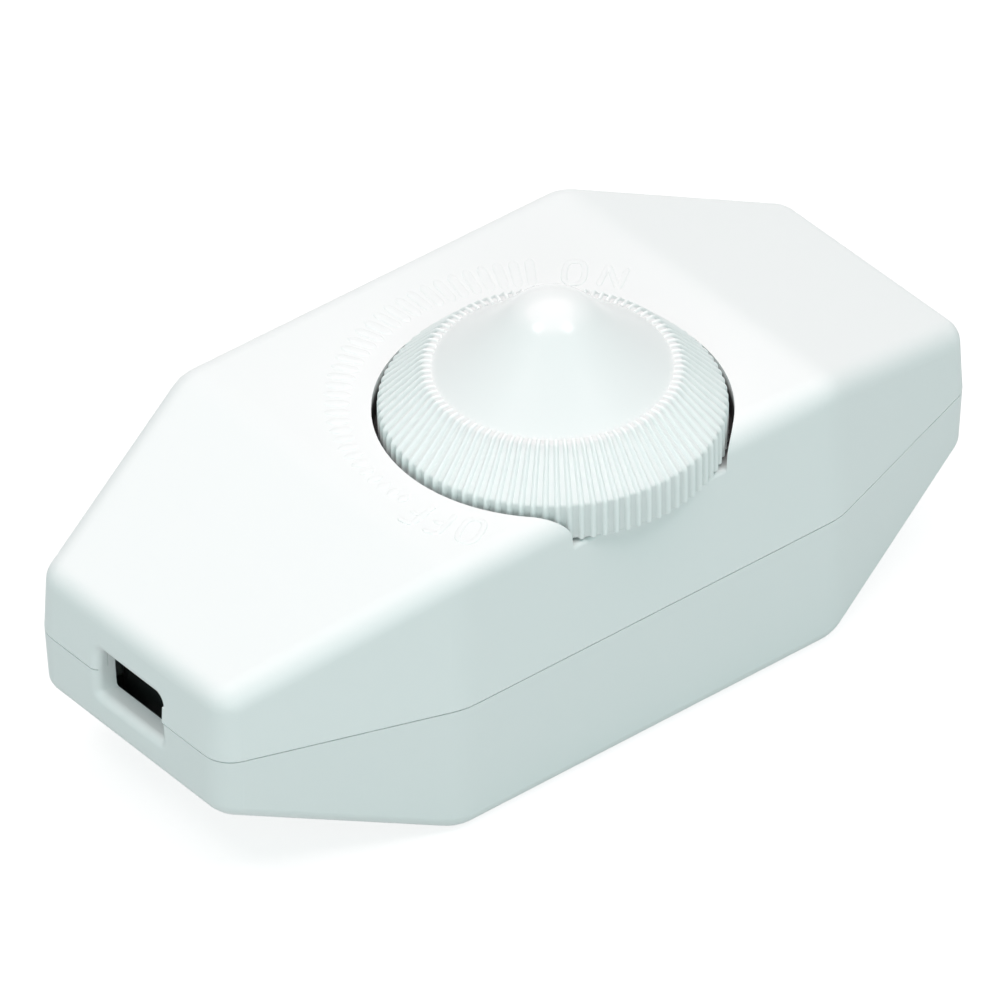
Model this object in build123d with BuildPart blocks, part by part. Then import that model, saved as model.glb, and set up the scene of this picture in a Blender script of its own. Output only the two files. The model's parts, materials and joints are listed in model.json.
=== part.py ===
from build123d import *
from math import cos, hypot, radians, sin, tan
import os

os.makedirs("parts", exist_ok=True)

# Inline cord dimmer: a two-part moulded housing with ramped ends, a ribbed
# knob sunk into a well in the cover, and the dimmer circuit on one board.
# Millimetres. X runs along the cord, +Z is up, and the origin is the middle
# of the flat underside. The knob leans out over the -Y side.

# Housing, outside
housing_length = 100.0
housing_width = 47.3
flat_length = 49.8          # straight long sides, and the flat top and underside
end_width = 30.0            # width of the two end faces
base_height = 16.5          # underside to parting plane
cover_height = 16.9         # parting plane to flat top
base_end_height = 7.0       # height of the base at its end faces
cover_end_height = 7.5
draft = 2.9                 # degrees, both halves narrow away from the parting plane
side_corner_radius = 8.0    # long side to slanted side
end_corner_radius = 3.5     # slanted side to end face
crease_radius = 8.0         # flat top to ramp
cover_edge_radius = 2.7
base_edge_radius = 1.8
seam_height = 0.14          # shadow gap that shows as the parting line
seam_depth = 0.5

# Housing, inside
wall = 2.0
end_wall = 2.5
lip_height = 1.5            # lip on the base, in a rebate of the cover
lip_thickness = 0.9
lip_clearance = 0.1

# Cord entries
mouth_width = 10.4
mouth_floor = 3.0           # below the parting plane
mouth_roof = 2.75           # above the parting plane
mouth_corner = 0.4          # lower corners
mouth_top_corner = 1.0
mouth_rounding = 1.0
nib_width = 0.6             # nib of the cover beside the left entry
nib_height = 1.9
nib_depth = 1.0

# Knob
knob_y = -7.4
knob_radius = 18.0          # over the ribs
rim_height = 4.35           # upright part of the ribbed band
cone_angle = 45.0           # slope of the ribbed cone
crest_radius = 13.5         # where the ribbed cone ends
crest_bevel = 0.5
crest_step = 0.2            # rib above the foot of the smooth centre
shoulder_bevel = 0.6        # upright band to cone
rib_count = 90
rib_width = 0.46
rib_height = 0.5
rib_root = 0.3              # rib inside the core
hat_radius = 12.4           # foot of the smooth centre
knob_height = 17.65         # rim bottom to tip
tip_radius = 6.4
tip_angle = 46.0            # slope in degrees where the round tip meets the flank
knob_wall = 1.6
hub_radius = 5.0
hub_grip = 8.5              # length of shaft inside the hub
hub_end_gap = 0.3
knob_lift = 0.4             # knob above the well floor
hub_lift = 0.4
web_thickness = 1.2
web_count = 4
web_lift = 1.5

# Well in the cover
well_gap = 0.6              # around the knob
well_depth = 3.85
sill_edge = 0.5             # rounding where the well opens through the side
well_wall = 1.8

# Potentiometer with switch, hung under the well floor
shaft_radius = 3.0
shaft_flat = 1.5            # depth of the flat on the shaft
running_clearance = 0.05
slip = 0.05                 # parts pushed onto the shaft
bush_radius = 3.5
bush_clearance = 0.1
pot_radius = 8.5
pot_plate_thickness = 1.0
pot_case_depth = 4.0
pot_case_wall = 0.5
track_thickness = 0.8
track_tongue_width = 13.0
track_tongue_reach = 8.9
track_bore_gap = 0.4
wiper_gap = 0.3
wiper_thickness = 0.4
rotor_radius = 6.4
rotor_thickness = 1.2
wiper_width = 1.6
wiper_slot = 5.0
cam_radius = 1.5
cam_length = 3.2
cam_gap = 0.5
switch_radius = 8.2
switch_height = 7.4
switch_edge = 0.6
lug_pitch = 5.0
lug_width = 1.2
lug_thickness = 0.4
switch_pin_spots = ((-4.5, -3.0), (4.5, -3.0), (-4.5, 3.0), (4.5, 3.0))

# Board
board_thickness = 1.6
board_height = 10.0         # underside of the board
board_length = 68.0
board_end_width = 26.0
board_mid_length = 34.0
board_mid_width = 36.0
lead_radius = 0.35
pin_radius = 0.5
lead_clearance = 0.15
lead_tail = 1.2             # lead below the board
post_x = 15.1
post_y = 16.0
post_radius = 2.0
peg_radius = 1.0
peg_clearance = 0.1
peg_height = 1.2            # above the board
end_rib_x = 32.8
end_rib_thickness = 1.5
end_rib_width = 16.0

# Case screws and locating pins, on opposite diagonals
screw_x = 20.5
screw_y = 16.9
screw_core_radius = 1.25
screw_length = 16.0
screw_head_radius = 2.75
screw_head_height = 1.9
screw_hole_radius = 1.65
pilot_clearance = 0.05
recess_radius = 3.1
recess_depth = 5.0
recess_wall = 1.2
boss_radius = 3.0
locating_pin_radius = 1.5
locating_pin_length = 4.0
locating_clearance = 0.1

# Cord clamps
clamp_inset = 8.4           # middle of the bar to the end face
clamp_width = 5.0
clamp_thickness = 2.6
clamp_post_radius = 2.4
clamp_post_y = 7.6
clamp_gap = 4.9             # mouth floor to the underside of the bar
clamp_corner = 1.5
tooth_height = 0.4
tooth_width = 0.8
tooth_spacing = 2.4
clamp_screw_core_radius = 0.95
clamp_screw_length = 9.0
clamp_screw_head_radius = 2.1
clamp_screw_head_height = 1.5
clamp_hole_radius = 1.3

# Terminal blocks
terminal_x = 30.0
terminal_depth = 8.0
terminal_width = 12.0
terminal_height = 10.0
terminal_pitch = 5.5
terminal_chamfer = 1.6
cage_size = 3.8
cage_depth = 5.0
cage_height = 5.6
cage_lift = 1.6
cage_clearance = 0.1
wire_hole_radius = 1.4
terminal_screw_radius = 1.2
terminal_screw_head_radius = 1.75
terminal_screw_length = 3.0
terminal_screw_head_height = 1.4
terminal_screw_clearance = 0.15

# Components on the board
suppressor_size = (18.0, 7.0, 12.0)
suppressor_spot = (0.0, 6.6)
suppressor_lead_pitch = 15.0
film_size = (7.2, 2.5, 6.5)
film_lead_pitch = 5.0
box_rounding = 0.4
film_spots = ((-11.4, -13.1, 0.0), (-11.0, -3.0, 90.0))
fuse_length = 20.0
fuse_cap_radius = 2.6
fuse_cap_wall = 0.25
fuse_bore_radius = 1.8
fuse_wire_radius = 0.15
fuse_cap_length = 5.0
fuse_spot = (0.0, 14.2)
fuse_lift = 4.2
clip_length = 4.0
clip_thickness = 0.5
clip_clearance = 0.05
clip_mouth = 3.6
choke_spot = (-17.8, 0.0)
choke_core_radius = 2.5
choke_core_length = 22.0
winding_length = 18.0
winding_radius = 4.2
winding_lift = 0.1
choke_lead_y = 8.0
resistor_spots = ((12.2, -9.8), (12.2, -12.9))
resistor_radius = 1.15
resistor_length = 6.3
diac_spot = (12.2, -6.6)
diac_radius = 0.95
diac_length = 4.0
axial_lead_pitch = 8.4
axial_lift = 0.15
axial_bend = 0.5
axial_end_share = 0.3
triac_y = 4.0
triac_lift = 0.8
triac_width = 10.0
triac_body_height = 9.0
triac_body_thickness = 3.2
triac_edge = 0.5
tab_thickness = 1.3
tab_height = 15.0
tab_hole_radius = 1.8
tab_hole_drop = 2.8
leg_pitch = 2.54
leg_width = 0.8
leg_thickness = 0.5
sink_x = 16.0               # face that the triac is bolted to
sink_plate = 1.6
sink_length = 18.0
fin_inner = 4.5
fin_outer = 8.5
fin_thickness = 1.0
fin_reach = 5.6
bolt_radius = 1.45
bolt_head_radius = 2.7
bolt_head_height = 1.8
bolt_nut_width = 5.0
bolt_nut_height = 2.0
bolt_clearance = 0.15

# How far a cutting shape runs past the piece, and how near is taken as the same
beyond = 1.0
near = 0.1

# Places worked out from the sizes above
half_length = housing_length / 2
half_width = housing_width / 2
half_flat = flat_length / 2
parting = base_height
top = base_height + cover_height
well_floor = top - well_depth
well_underside = well_floor - well_wall
well_radius = knob_radius + well_gap
board_top = board_height + board_thickness
lead_foot = board_height - lead_tail
mouth_bottom = parting - mouth_floor
mouth_top = parting + mouth_roof
clamp_top = mouth_bottom + clamp_gap
clamp_x = half_length - clamp_inset
axis_spot = (0.0, knob_y)
knob_axis = Axis((0, knob_y, 0), (0, 0, 1))
screw_spots = ((-screw_x, screw_y), (screw_x, -screw_y))
pin_spots = ((screw_x, screw_y), (-screw_x, -screw_y))
post_spots = [(x, y) for x in (-post_x, post_x) for y in (-post_y, post_y)]
sides = ((-1, "left"), (1, "right"))
board_holes = []            # (x, y, radius) of every hole that a lead goes through
leads = []                  # (x, y, top) of every straight lead
terminal_pins = []


def axial_plane(x=0.0, y=0.0):
    """Upright plane through (x, y): its own X is the X axis and its own Y is height."""
    return Plane(origin=(x, y, 0), x_dir=(1, 0, 0), z_dir=(0, -1, 0))


def cross_plane(x):
    """Upright plane across the cord at x: its own X is the Y axis and its own Y is height."""
    return Plane(origin=(x, 0, 0), x_dir=(0, 1, 0), z_dir=(1, 0, 0))


def plan_points(at_ends, at_sides):
    """Corners of the eight-sided plan at the parting plane, moved in by two walls."""
    slope = (half_width - end_width / 2) / (half_length - half_flat)
    drop = at_sides * hypot(1, slope)
    x_end = half_length - at_ends
    y_side = half_width - at_sides
    y_end = half_width - drop - slope * (x_end - half_flat)
    x_flat = half_flat - (drop - at_sides) / slope
    quarter = [(x_end, y_end), (x_flat, y_side)]
    left = [(-x, y) for x, y in reversed(quarter)]
    return quarter + left + [(-x, -y) for x, y in quarter + left]


def plan_face(at_ends, at_sides):
    """The eight-sided plan with its rounded corners, moved in by two walls."""
    with BuildSketch() as plan:
        with BuildLine():
            Polyline(*plan_points(at_ends, at_sides), close=True)
        make_face()
        fillet(plan.vertices().group_by(SortBy.DISTANCE)[0], side_corner_radius - at_sides)
        fillet(plan.vertices().sort_by(SortBy.DISTANCE)[-4:], end_corner_radius - at_sides / 2)
    return plan.sketch


def housing_half(up, height, end_height, at_ends=0.0, at_sides=0.0, edge_radius=0.0):
    """Solid half of the housing, above (up = 1) or below (-1) the parting plane."""
    run = half_length - half_flat
    rise = (height - end_height) / run
    drop = at_sides * hypot(1, rise)
    flat = height - at_sides
    x_crease = half_flat + (at_sides - drop) / rise
    x_far = half_length + beyond
    low = height - drop - rise * (x_far - half_flat)
    corners = ((x_far, 0), (x_far, low), (x_crease, flat))
    profile = [(x, parting + up * z) for x, z in corners]
    profile += [(-x, z) for x, z in reversed(profile)]
    with BuildPart() as half:
        with BuildSketch(Plane(origin=(0, 0, parting), x_dir=(1, 0, 0), z_dir=(0, 0, up))):
            add(plan_face(at_ends, at_sides))
        extrude(amount=height, taper=draft)
        with BuildSketch(axial_plane()) as outline:
            with BuildLine():
                Polyline(*profile, close=True)
            make_face()
            creases = [v for v in outline.vertices() if abs(v.X) < half_length]
            fillet(creases, crease_radius - at_sides)
        extrude(amount=housing_width, both=True, mode=Mode.INTERSECT)
        if edge_radius:
            skin = half.faces().filter_by(lambda face: face.normal_at().Z * up > 0.5)
            walls = half.faces().filter_by(lambda face: abs(face.normal_at().Z) < 0.5)
            fillet([edge for edge in skin.edges() if edge in walls.edges()], edge_radius)
    return half.part


def mouth_tool():
    """Bar through each end wall, the clear section of a cord entry."""
    with BuildPart() as bars:
        for side, _ in sides:
            with BuildSketch(cross_plane(side * (half_length - end_wall / 2))) as mouth:
                with Locations((0, (mouth_bottom + mouth_top) / 2)):
                    Rectangle(mouth_width, mouth_top - mouth_bottom)
                fillet(mouth.vertices().group_by(Axis.Y)[-1], mouth_top_corner)
                fillet(mouth.vertices().group_by(Axis.Y)[0], mouth_corner)
            extrude(amount=end_wall, both=True)
    return bars.part


def round_mouths(half):
    """Edges of the cord entries on the end faces of a housing half."""
    picked = []
    for edge in half.edges():
        middle = edge.center()
        outside = abs(middle.X) > half_length - end_wall / 4
        inside_mouth = abs(middle.Y) < mouth_width / 2 + near
        inside_height = mouth_bottom - near < middle.Z < mouth_top + near
        flush = abs(middle.Z - parting) < near
        if outside and inside_mouth and inside_height and not flush:
            picked.append(edge)
    return picked


def sill_edges(shell):
    """Edge of the well's floor where it opens through the side."""
    lines = shell.edges().filter_by(GeomType.LINE)
    return [line for line in lines if max(abs((line @ at).Z - well_floor) for at in (0, 1)) < slip]


def save(piece, name):
    """Name a finished piece and write its STEP file."""
    piece.part.label = name
    export_step(piece.part, f"parts/{name}.step")


# Cover: upper shell with the knob's well, the bosses and the locating pins
cover_skin = housing_half(1, cover_height, cover_end_height, edge_radius=cover_edge_radius)
cover_room = housing_half(1, cover_height, cover_end_height, end_wall, wall)
entry_bars = mouth_tool()

with BuildPart() as cover_hollow:
    add(cover_room)
    with BuildSketch(Plane.XY.offset(well_underside)):
        with Locations(axis_spot):
            Circle(well_radius + well_wall)
    extrude(amount=cover_height, mode=Mode.SUBTRACT)
    with BuildSketch(Plane.XY.offset(parting)):
        with Locations(*screw_spots, *pin_spots):
            Circle(boss_radius)
    extrude(amount=cover_height, mode=Mode.SUBTRACT)

with BuildPart() as nib:
    with BuildSketch(Plane.XY.offset(parting)):
        with Locations((nib_depth / 2 - half_length, nib_width / 2 - mouth_rounding - mouth_width / 2)):
            Rectangle(nib_depth, nib_width)
    extrude(amount=nib_height)
    add(cover_skin, mode=Mode.INTERSECT)

with BuildPart() as cover:
    add(cover_skin)
    add(cover_hollow.part, mode=Mode.SUBTRACT)
    with BuildSketch(Plane.XY.offset(well_floor)):
        with Locations(axis_spot):
            Circle(well_radius)
    extrude(amount=2 * well_depth, mode=Mode.SUBTRACT)
    with BuildSketch(Plane.XY.offset(well_underside)):
        with Locations(axis_spot):
            Circle(bush_radius + bush_clearance)
    extrude(amount=well_wall, mode=Mode.SUBTRACT)
    with BuildSketch(Plane.XY.offset(parting)):
        rebate = wall - lip_thickness - lip_clearance
        with BuildLine():
            Polyline(*plan_points(end_wall - wall + rebate, rebate), close=True)
        make_face()
        with BuildLine():
            Polyline(*plan_points(end_wall, wall), close=True)
        make_face(mode=Mode.SUBTRACT)
    extrude(amount=lip_height + lip_clearance, mode=Mode.SUBTRACT)
    with BuildSketch(Plane.XY.offset(parting)):
        with Locations(*screw_spots):
            Circle(screw_core_radius + pilot_clearance)
    extrude(amount=screw_length - (parting - recess_depth) + beyond, mode=Mode.SUBTRACT)
    with BuildSketch(Plane.XY.offset(parting)):
        with Locations(*pin_spots):
            Circle(locating_pin_radius)
    extrude(amount=-locating_pin_length)
    add(entry_bars, mode=Mode.SUBTRACT)
    fillet(round_mouths(cover), mouth_rounding)
    fillet(sill_edges(cover), sill_edge)
    add(nib)
save(cover, "cover")

# Base: lower shell with the board's posts, the screw tubes and the clamp seats
base_skin = housing_half(-1, base_height, base_end_height, edge_radius=base_edge_radius)
base_room = housing_half(-1, base_height, base_end_height, end_wall, wall)

with BuildPart() as base_hollow:
    add(base_room)
    with BuildSketch(Plane.XY):
        with Locations(*screw_spots):
            Circle(recess_radius + recess_wall)
    extrude(amount=recess_depth + recess_wall, mode=Mode.SUBTRACT)
    with BuildSketch(Plane.XY):
        with Locations(*screw_spots, *pin_spots):
            Circle(boss_radius)
    extrude(amount=parting, mode=Mode.SUBTRACT)
    with BuildSketch(Plane.XY):
        with Locations(*post_spots):
            Circle(post_radius)
        with Locations((-end_rib_x, 0), (end_rib_x, 0)):
            Rectangle(end_rib_thickness, end_rib_width)
    extrude(amount=board_height, mode=Mode.SUBTRACT)
    with BuildSketch(Plane.XY):
        with Locations((-clamp_x, 0), (clamp_x, 0)):
            Rectangle(clamp_width, 2 * clamp_post_y)
    extrude(amount=mouth_bottom, mode=Mode.SUBTRACT)
    with BuildSketch(Plane.XY):
        with GridLocations(2 * clamp_x, 2 * clamp_post_y, 2, 2):
            Circle(clamp_post_radius)
    extrude(amount=parting, mode=Mode.SUBTRACT)

with BuildPart() as base:
    add(base_skin)
    add(base_hollow.part, mode=Mode.SUBTRACT)
    with BuildSketch(Plane.XY.offset(parting)):
        lip_at = wall - lip_thickness
        with BuildLine():
            Polyline(*plan_points(end_wall - wall + lip_at, lip_at), close=True)
        make_face()
        with BuildLine():
            Polyline(*plan_points(end_wall, wall), close=True)
        make_face(mode=Mode.SUBTRACT)
    extrude(amount=lip_height)
    with BuildSketch(Plane.XY.offset(board_height)):
        with Locations(*post_spots):
            Circle(peg_radius)
    extrude(amount=board_thickness + peg_height)
    with BuildSketch(Plane.XY):
        with Locations(*screw_spots):
            Circle(recess_radius)
    extrude(amount=recess_depth, mode=Mode.SUBTRACT)
    with BuildSketch(Plane.XY):
        with Locations(*screw_spots):
            Circle(screw_hole_radius)
    extrude(amount=parting, mode=Mode.SUBTRACT)
    with BuildSketch(Plane.XY.offset(parting)):
        with Locations(*pin_spots):
            Circle(locating_pin_radius + locating_clearance)
    extrude(amount=-locating_pin_length - beyond, mode=Mode.SUBTRACT)
    add(entry_bars, mode=Mode.SUBTRACT)
    fillet(round_mouths(base), mouth_rounding)
    with BuildSketch(Plane.XY.offset(parting)):
        Rectangle(housing_length + beyond, housing_width + beyond)
        add(plan_face(seam_depth, seam_depth), mode=Mode.SUBTRACT)
    extrude(amount=-seam_height, mode=Mode.SUBTRACT)
    with BuildSketch(Plane.XY.offset(parting)):
        with GridLocations(2 * clamp_x, 2 * clamp_post_y, 2, 2):
            Circle(clamp_post_radius)
    extrude(amount=clamp_top - parting)
    with BuildSketch(Plane.XY.offset(mouth_bottom)):
        for side, _ in sides:
            with Locations((side * clamp_x, 0)):
                with GridLocations(tooth_spacing, 0, 2, 1):
                    Rectangle(tooth_width, mouth_width)
    extrude(amount=tooth_height)
    with BuildSketch(Plane.XY.offset(clamp_top)):
        with GridLocations(2 * clamp_x, 2 * clamp_post_y, 2, 2):
            Circle(clamp_screw_core_radius + pilot_clearance)
    extrude(amount=clamp_thickness - clamp_screw_length - beyond, mode=Mode.SUBTRACT)
save(base, "base")

# Knob: hollow revolved core with ribs that wrap the rim, the cone and the crest
rim_bottom = well_floor + knob_lift
rim_top = rim_bottom + rim_height
slant = radians(cone_angle)
crest_z = rim_top + (knob_radius - crest_radius) * sin(slant) / cos(slant)
core_radius = knob_radius - rib_height
core_rim_top = rim_top - rib_height * (1 - sin(slant)) / cos(slant)
foot_z = crest_z - crest_step
core_crest_radius = core_radius - (foot_z - core_rim_top) * cos(slant) / sin(slant)
tip_center = rim_bottom + knob_height - tip_radius
tip_edge = (tip_radius * sin(radians(tip_angle)), tip_center + tip_radius * cos(radians(tip_angle)))
tip_top = (0, tip_center + tip_radius)
tip_middle = (tip_radius * sin(radians(tip_angle / 2)), tip_center + tip_radius * cos(radians(tip_angle / 2)))
flank = (tip_edge[1] - foot_z) / (hat_radius - tip_edge[0])
room_radius = core_radius - knob_wall
hub_bottom = well_floor + hub_lift


def roof(radius):
    """Height of the hollow's roof inside the knob, one wall below the smooth flank."""
    return foot_z - knob_wall * hypot(1, flank) + (hat_radius - radius) * flank


with BuildPart() as rib:
    with BuildSketch(axial_plane()) as rib_outline:
        with BuildLine():
            Polyline(
                (knob_radius, rim_bottom),
                (knob_radius, rim_top),
                (crest_radius, crest_z),
                (hat_radius - rib_root, crest_z),
                (hat_radius - rib_root, foot_z - rib_root),
                (core_crest_radius - rib_root, foot_z - rib_root),
                (core_radius - rib_root, core_rim_top - rib_root),
                (core_radius - rib_root, rim_bottom),
                close=True,
            )
        make_face()
        rim_corners = rib_outline.vertices().group_by(Axis.X)[-1]
        chamfer(rim_corners.sort_by(Axis.Y)[-1], shoulder_bevel)
        chamfer(rib_outline.vertices().group_by(Axis.Y)[-1].sort_by(Axis.X)[-1], crest_bevel)
    extrude(amount=rib_width / 2, both=True)

with BuildPart() as web:
    with BuildSketch(axial_plane()):
        with BuildLine():
            Polyline(
                (hub_radius - slip, rim_bottom + web_lift),
                (room_radius + slip, rim_bottom + web_lift),
                (room_radius + slip, roof(room_radius) + knob_wall / 2),
                (hub_radius - slip, roof(hub_radius) + knob_wall / 2),
                close=True,
            )
        make_face()
    extrude(amount=web_thickness / 2, both=True)

with BuildPart() as knob:
    with BuildSketch(axial_plane(*axis_spot)) as section:
        with BuildLine():
            ThreePointArc(tip_top, tip_middle, tip_edge)
            TangentArc(tip_edge, (hat_radius, foot_z), tangent=(1, -tan(radians(tip_angle))))
            Polyline(
                (hat_radius, foot_z),
                (core_crest_radius, foot_z),
                (core_radius, core_rim_top),
                (core_radius, rim_bottom),
                (room_radius, rim_bottom),
                (room_radius, roof(room_radius)),
                (hub_radius, roof(hub_radius)),
                (hub_radius, hub_bottom),
                (0, hub_bottom),
                tip_top,
            )
        make_face()
        chamfer(section.vertices().group_by(Axis.X)[-1].sort_by(Axis.Y)[-1], shoulder_bevel)
    revolve(axis=knob_axis)
    with Locations(axis_spot):
        with PolarLocations(0, rib_count):
            add(rib.part)
        with PolarLocations(0, web_count):
            add(web.part)
    with BuildSketch(Plane.XY.offset(hub_bottom)):
        bore_radius = shaft_radius + slip
        with Locations(axis_spot):
            Circle(bore_radius)
        with Locations((0, knob_y + 2 * bore_radius - shaft_flat)):
            Rectangle(2 * bore_radius, 2 * bore_radius, mode=Mode.SUBTRACT)
    extrude(amount=hub_grip + hub_end_gap, mode=Mode.SUBTRACT)
save(knob, "knob")

# Potentiometer, from the well floor downwards
plate_bottom = well_underside - pot_plate_thickness
track_bottom = plate_bottom - track_thickness
wiper_top = track_bottom - wiper_gap
rotor_top = wiper_top - wiper_thickness
case_bottom = plate_bottom - pot_case_depth
shaft_bottom = case_bottom + pot_case_wall + wiper_gap
cam_bottom = shaft_bottom - cam_length
switch_bottom = case_bottom - switch_height

with BuildPart() as pot_bush:
    with BuildSketch(Plane.XY.offset(plate_bottom)):
        with Locations(axis_spot):
            Circle(pot_radius)
    extrude(amount=pot_plate_thickness)
    with BuildSketch(Plane.XY.offset(well_underside)):
        with Locations(axis_spot):
            Circle(bush_radius)
    extrude(amount=well_wall)
    with BuildSketch(Plane.XY.offset(plate_bottom)):
        with Locations(axis_spot):
            Circle(shaft_radius + running_clearance)
    extrude(amount=pot_plate_thickness + well_wall, mode=Mode.SUBTRACT)
save(pot_bush, "pot_bush")

with BuildPart() as pot_track:
    with BuildSketch(Plane.XY.offset(track_bottom)):
        with Locations(axis_spot):
            Circle(pot_radius - pot_case_wall - slip)
        with Locations((0, knob_y - track_tongue_reach / 2)):
            Rectangle(track_tongue_width, track_tongue_reach)
        with Locations(axis_spot):
            Circle(shaft_radius + track_bore_gap, mode=Mode.SUBTRACT)
    extrude(amount=track_thickness)
save(pot_track, "pot_track")

with BuildPart() as pot_case:
    with BuildSketch(Plane.XY.offset(case_bottom)):
        with Locations(axis_spot):
            Circle(pot_radius)
    extrude(amount=pot_case_depth)
    with BuildSketch(Plane.XY.offset(case_bottom + pot_case_wall)):
        with Locations(axis_spot):
            Circle(pot_radius - pot_case_wall)
    extrude(amount=pot_case_depth, mode=Mode.SUBTRACT)
    with BuildSketch(Plane.XY.offset(case_bottom)):
        with Locations(axis_spot):
            Circle(cam_radius + cam_gap)
    extrude(amount=pot_case_wall, mode=Mode.SUBTRACT)
    with BuildSketch(Plane.XY.offset(track_bottom - slip)):
        with Locations((0, knob_y - pot_radius)):
            Rectangle(track_tongue_width + 4 * slip, pot_radius)
    extrude(amount=track_thickness + slip, mode=Mode.SUBTRACT)
save(pot_case, "pot_case")

with BuildPart() as pot_switch:
    with BuildSketch(Plane.XY.offset(switch_bottom)):
        with Locations(axis_spot):
            Circle(switch_radius)
    extrude(amount=switch_height)
    chamfer(pot_switch.faces().sort_by(Axis.Z)[0].edges(), switch_edge)
    with BuildSketch(Plane.XY.offset(case_bottom)):
        with Locations(axis_spot):
            Circle(cam_radius + cam_gap)
    extrude(amount=cam_bottom - cam_gap - case_bottom, mode=Mode.SUBTRACT)
save(pot_switch, "pot_switch")

with BuildPart() as pot_shaft:
    with BuildSketch(Plane.XY.offset(cam_bottom)):
        with Locations(axis_spot):
            Circle(cam_radius)
    extrude(amount=cam_length)
    with BuildSketch(Plane.XY.offset(shaft_bottom)):
        with Locations(axis_spot):
            Circle(shaft_radius)
    extrude(amount=hub_bottom + hub_grip - shaft_bottom)
    with BuildSketch(Plane.XY.offset(hub_bottom)):
        with Locations((0, knob_y + 2 * shaft_radius - shaft_flat)):
            Rectangle(2 * shaft_radius, 2 * shaft_radius)
    extrude(amount=hub_grip, mode=Mode.SUBTRACT)
save(pot_shaft, "pot_shaft")

with BuildPart() as pot_rotor:
    with BuildSketch(Plane.XY.offset(rotor_top - rotor_thickness)):
        with Locations(axis_spot):
            Circle(rotor_radius)
            Circle(shaft_radius + slip, mode=Mode.SUBTRACT)
    extrude(amount=rotor_thickness)
save(pot_rotor, "pot_rotor")

with BuildPart() as pot_wiper:
    with BuildSketch(Plane.XY.offset(rotor_top)):
        with Locations(axis_spot):
            Circle(rotor_radius)
            Circle(rotor_radius - wiper_width, mode=Mode.SUBTRACT)
            Rectangle(2 * rotor_radius, wiper_slot, mode=Mode.SUBTRACT)
    extrude(amount=wiper_thickness)
save(pot_wiper, "pot_wiper")

lug_y = knob_y - track_tongue_reach
with BuildPart() as pot_lugs:
    for x in (-lug_pitch, 0, lug_pitch):
        with BuildSketch(cross_plane(x)):
            with BuildLine():
                Polyline(
                    (lug_y, plate_bottom - lug_thickness),
                    (lug_y, plate_bottom),
                    (lug_y - 2 * lug_thickness, plate_bottom),
                    (lug_y - 2 * lug_thickness, lead_foot),
                    (lug_y - lug_thickness, lead_foot),
                    (lug_y - lug_thickness, plate_bottom - lug_thickness),
                    close=True,
                )
            make_face()
        extrude(amount=lug_width / 2, both=True)
        board_holes.append((x, lug_y - 1.5 * lug_thickness, lug_width / 2 + lead_clearance))
save(pot_lugs, "pot_lugs")

# Triac, its heat sink and the bolt between them
sink_back = sink_x + sink_plate
tab_front = sink_x - tab_thickness
body_front = tab_front - triac_body_thickness
triac_bottom = board_top + triac_lift
bolt_z = triac_bottom + tab_height - tab_hole_drop
sink_height = triac_lift + tab_height

with BuildPart() as triac_body:
    with BuildSketch(Plane.XY.offset(triac_bottom)):
        with Locations(((body_front + tab_front) / 2, triac_y)):
            Rectangle(triac_body_thickness, triac_width)
    extrude(amount=triac_body_height)
    front = triac_body.faces().sort_by(Axis.X)[0].edges().filter_by(Axis.Z, reverse=True)
    chamfer(front, triac_edge)
save(triac_body, "triac_body")

with BuildPart() as triac_tab:
    with BuildSketch(cross_plane(tab_front)):
        with Locations((triac_y, triac_bottom + tab_height / 2)):
            Rectangle(triac_width, tab_height)
        with Locations((triac_y, bolt_z)):
            Circle(tab_hole_radius, mode=Mode.SUBTRACT)
    extrude(amount=tab_thickness)
save(triac_tab, "triac_tab")

leg_x = (body_front + tab_front) / 2
with BuildPart() as triac_legs:
    with BuildSketch(Plane.XY.offset(lead_foot)):
        for step in (-1, 0, 1):
            leg_y = triac_y + step * leg_pitch
            with Locations((leg_x, leg_y)):
                Rectangle(leg_thickness, leg_width)
            board_holes.append((leg_x, leg_y, leg_width / 2 + lead_clearance))
    extrude(amount=triac_bottom - lead_foot)
save(triac_legs, "triac_legs")

with BuildPart() as heat_sink:
    with BuildSketch(Plane.XY.offset(board_top)):
        with Locations((sink_x + sink_plate / 2, triac_y)):
            Rectangle(sink_plate, sink_length)
        for offset_y in (-fin_inner, fin_inner, -fin_outer, fin_outer):
            with Locations((sink_back + fin_reach / 2, triac_y + offset_y)):
                Rectangle(fin_reach, fin_thickness)
    extrude(amount=sink_height)
    with BuildSketch(cross_plane(sink_x)):
        with Locations((triac_y, bolt_z)):
            Circle(bolt_radius + bolt_clearance)
    extrude(amount=sink_plate, mode=Mode.SUBTRACT)
save(heat_sink, "heat_sink")

with BuildPart() as heat_sink_bolt:
    with BuildSketch(cross_plane(tab_front - bolt_head_height)):
        with Locations((triac_y, bolt_z)):
            Circle(bolt_head_radius)
    extrude(amount=bolt_head_height)
    with BuildSketch(cross_plane(tab_front)):
        with Locations((triac_y, bolt_z)):
            Circle(bolt_radius)
    extrude(amount=tab_thickness + sink_plate + bolt_nut_height)
save(heat_sink_bolt, "heat_sink_bolt")

with BuildPart() as heat_sink_nut:
    with BuildSketch(cross_plane(sink_back)):
        with Locations((triac_y, bolt_z)):
            RegularPolygon(bolt_nut_width / 2, 6, major_radius=False)
            Circle(bolt_radius + slip, mode=Mode.SUBTRACT)
    extrude(amount=bolt_nut_height)
save(heat_sink_nut, "heat_sink_nut")

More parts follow.
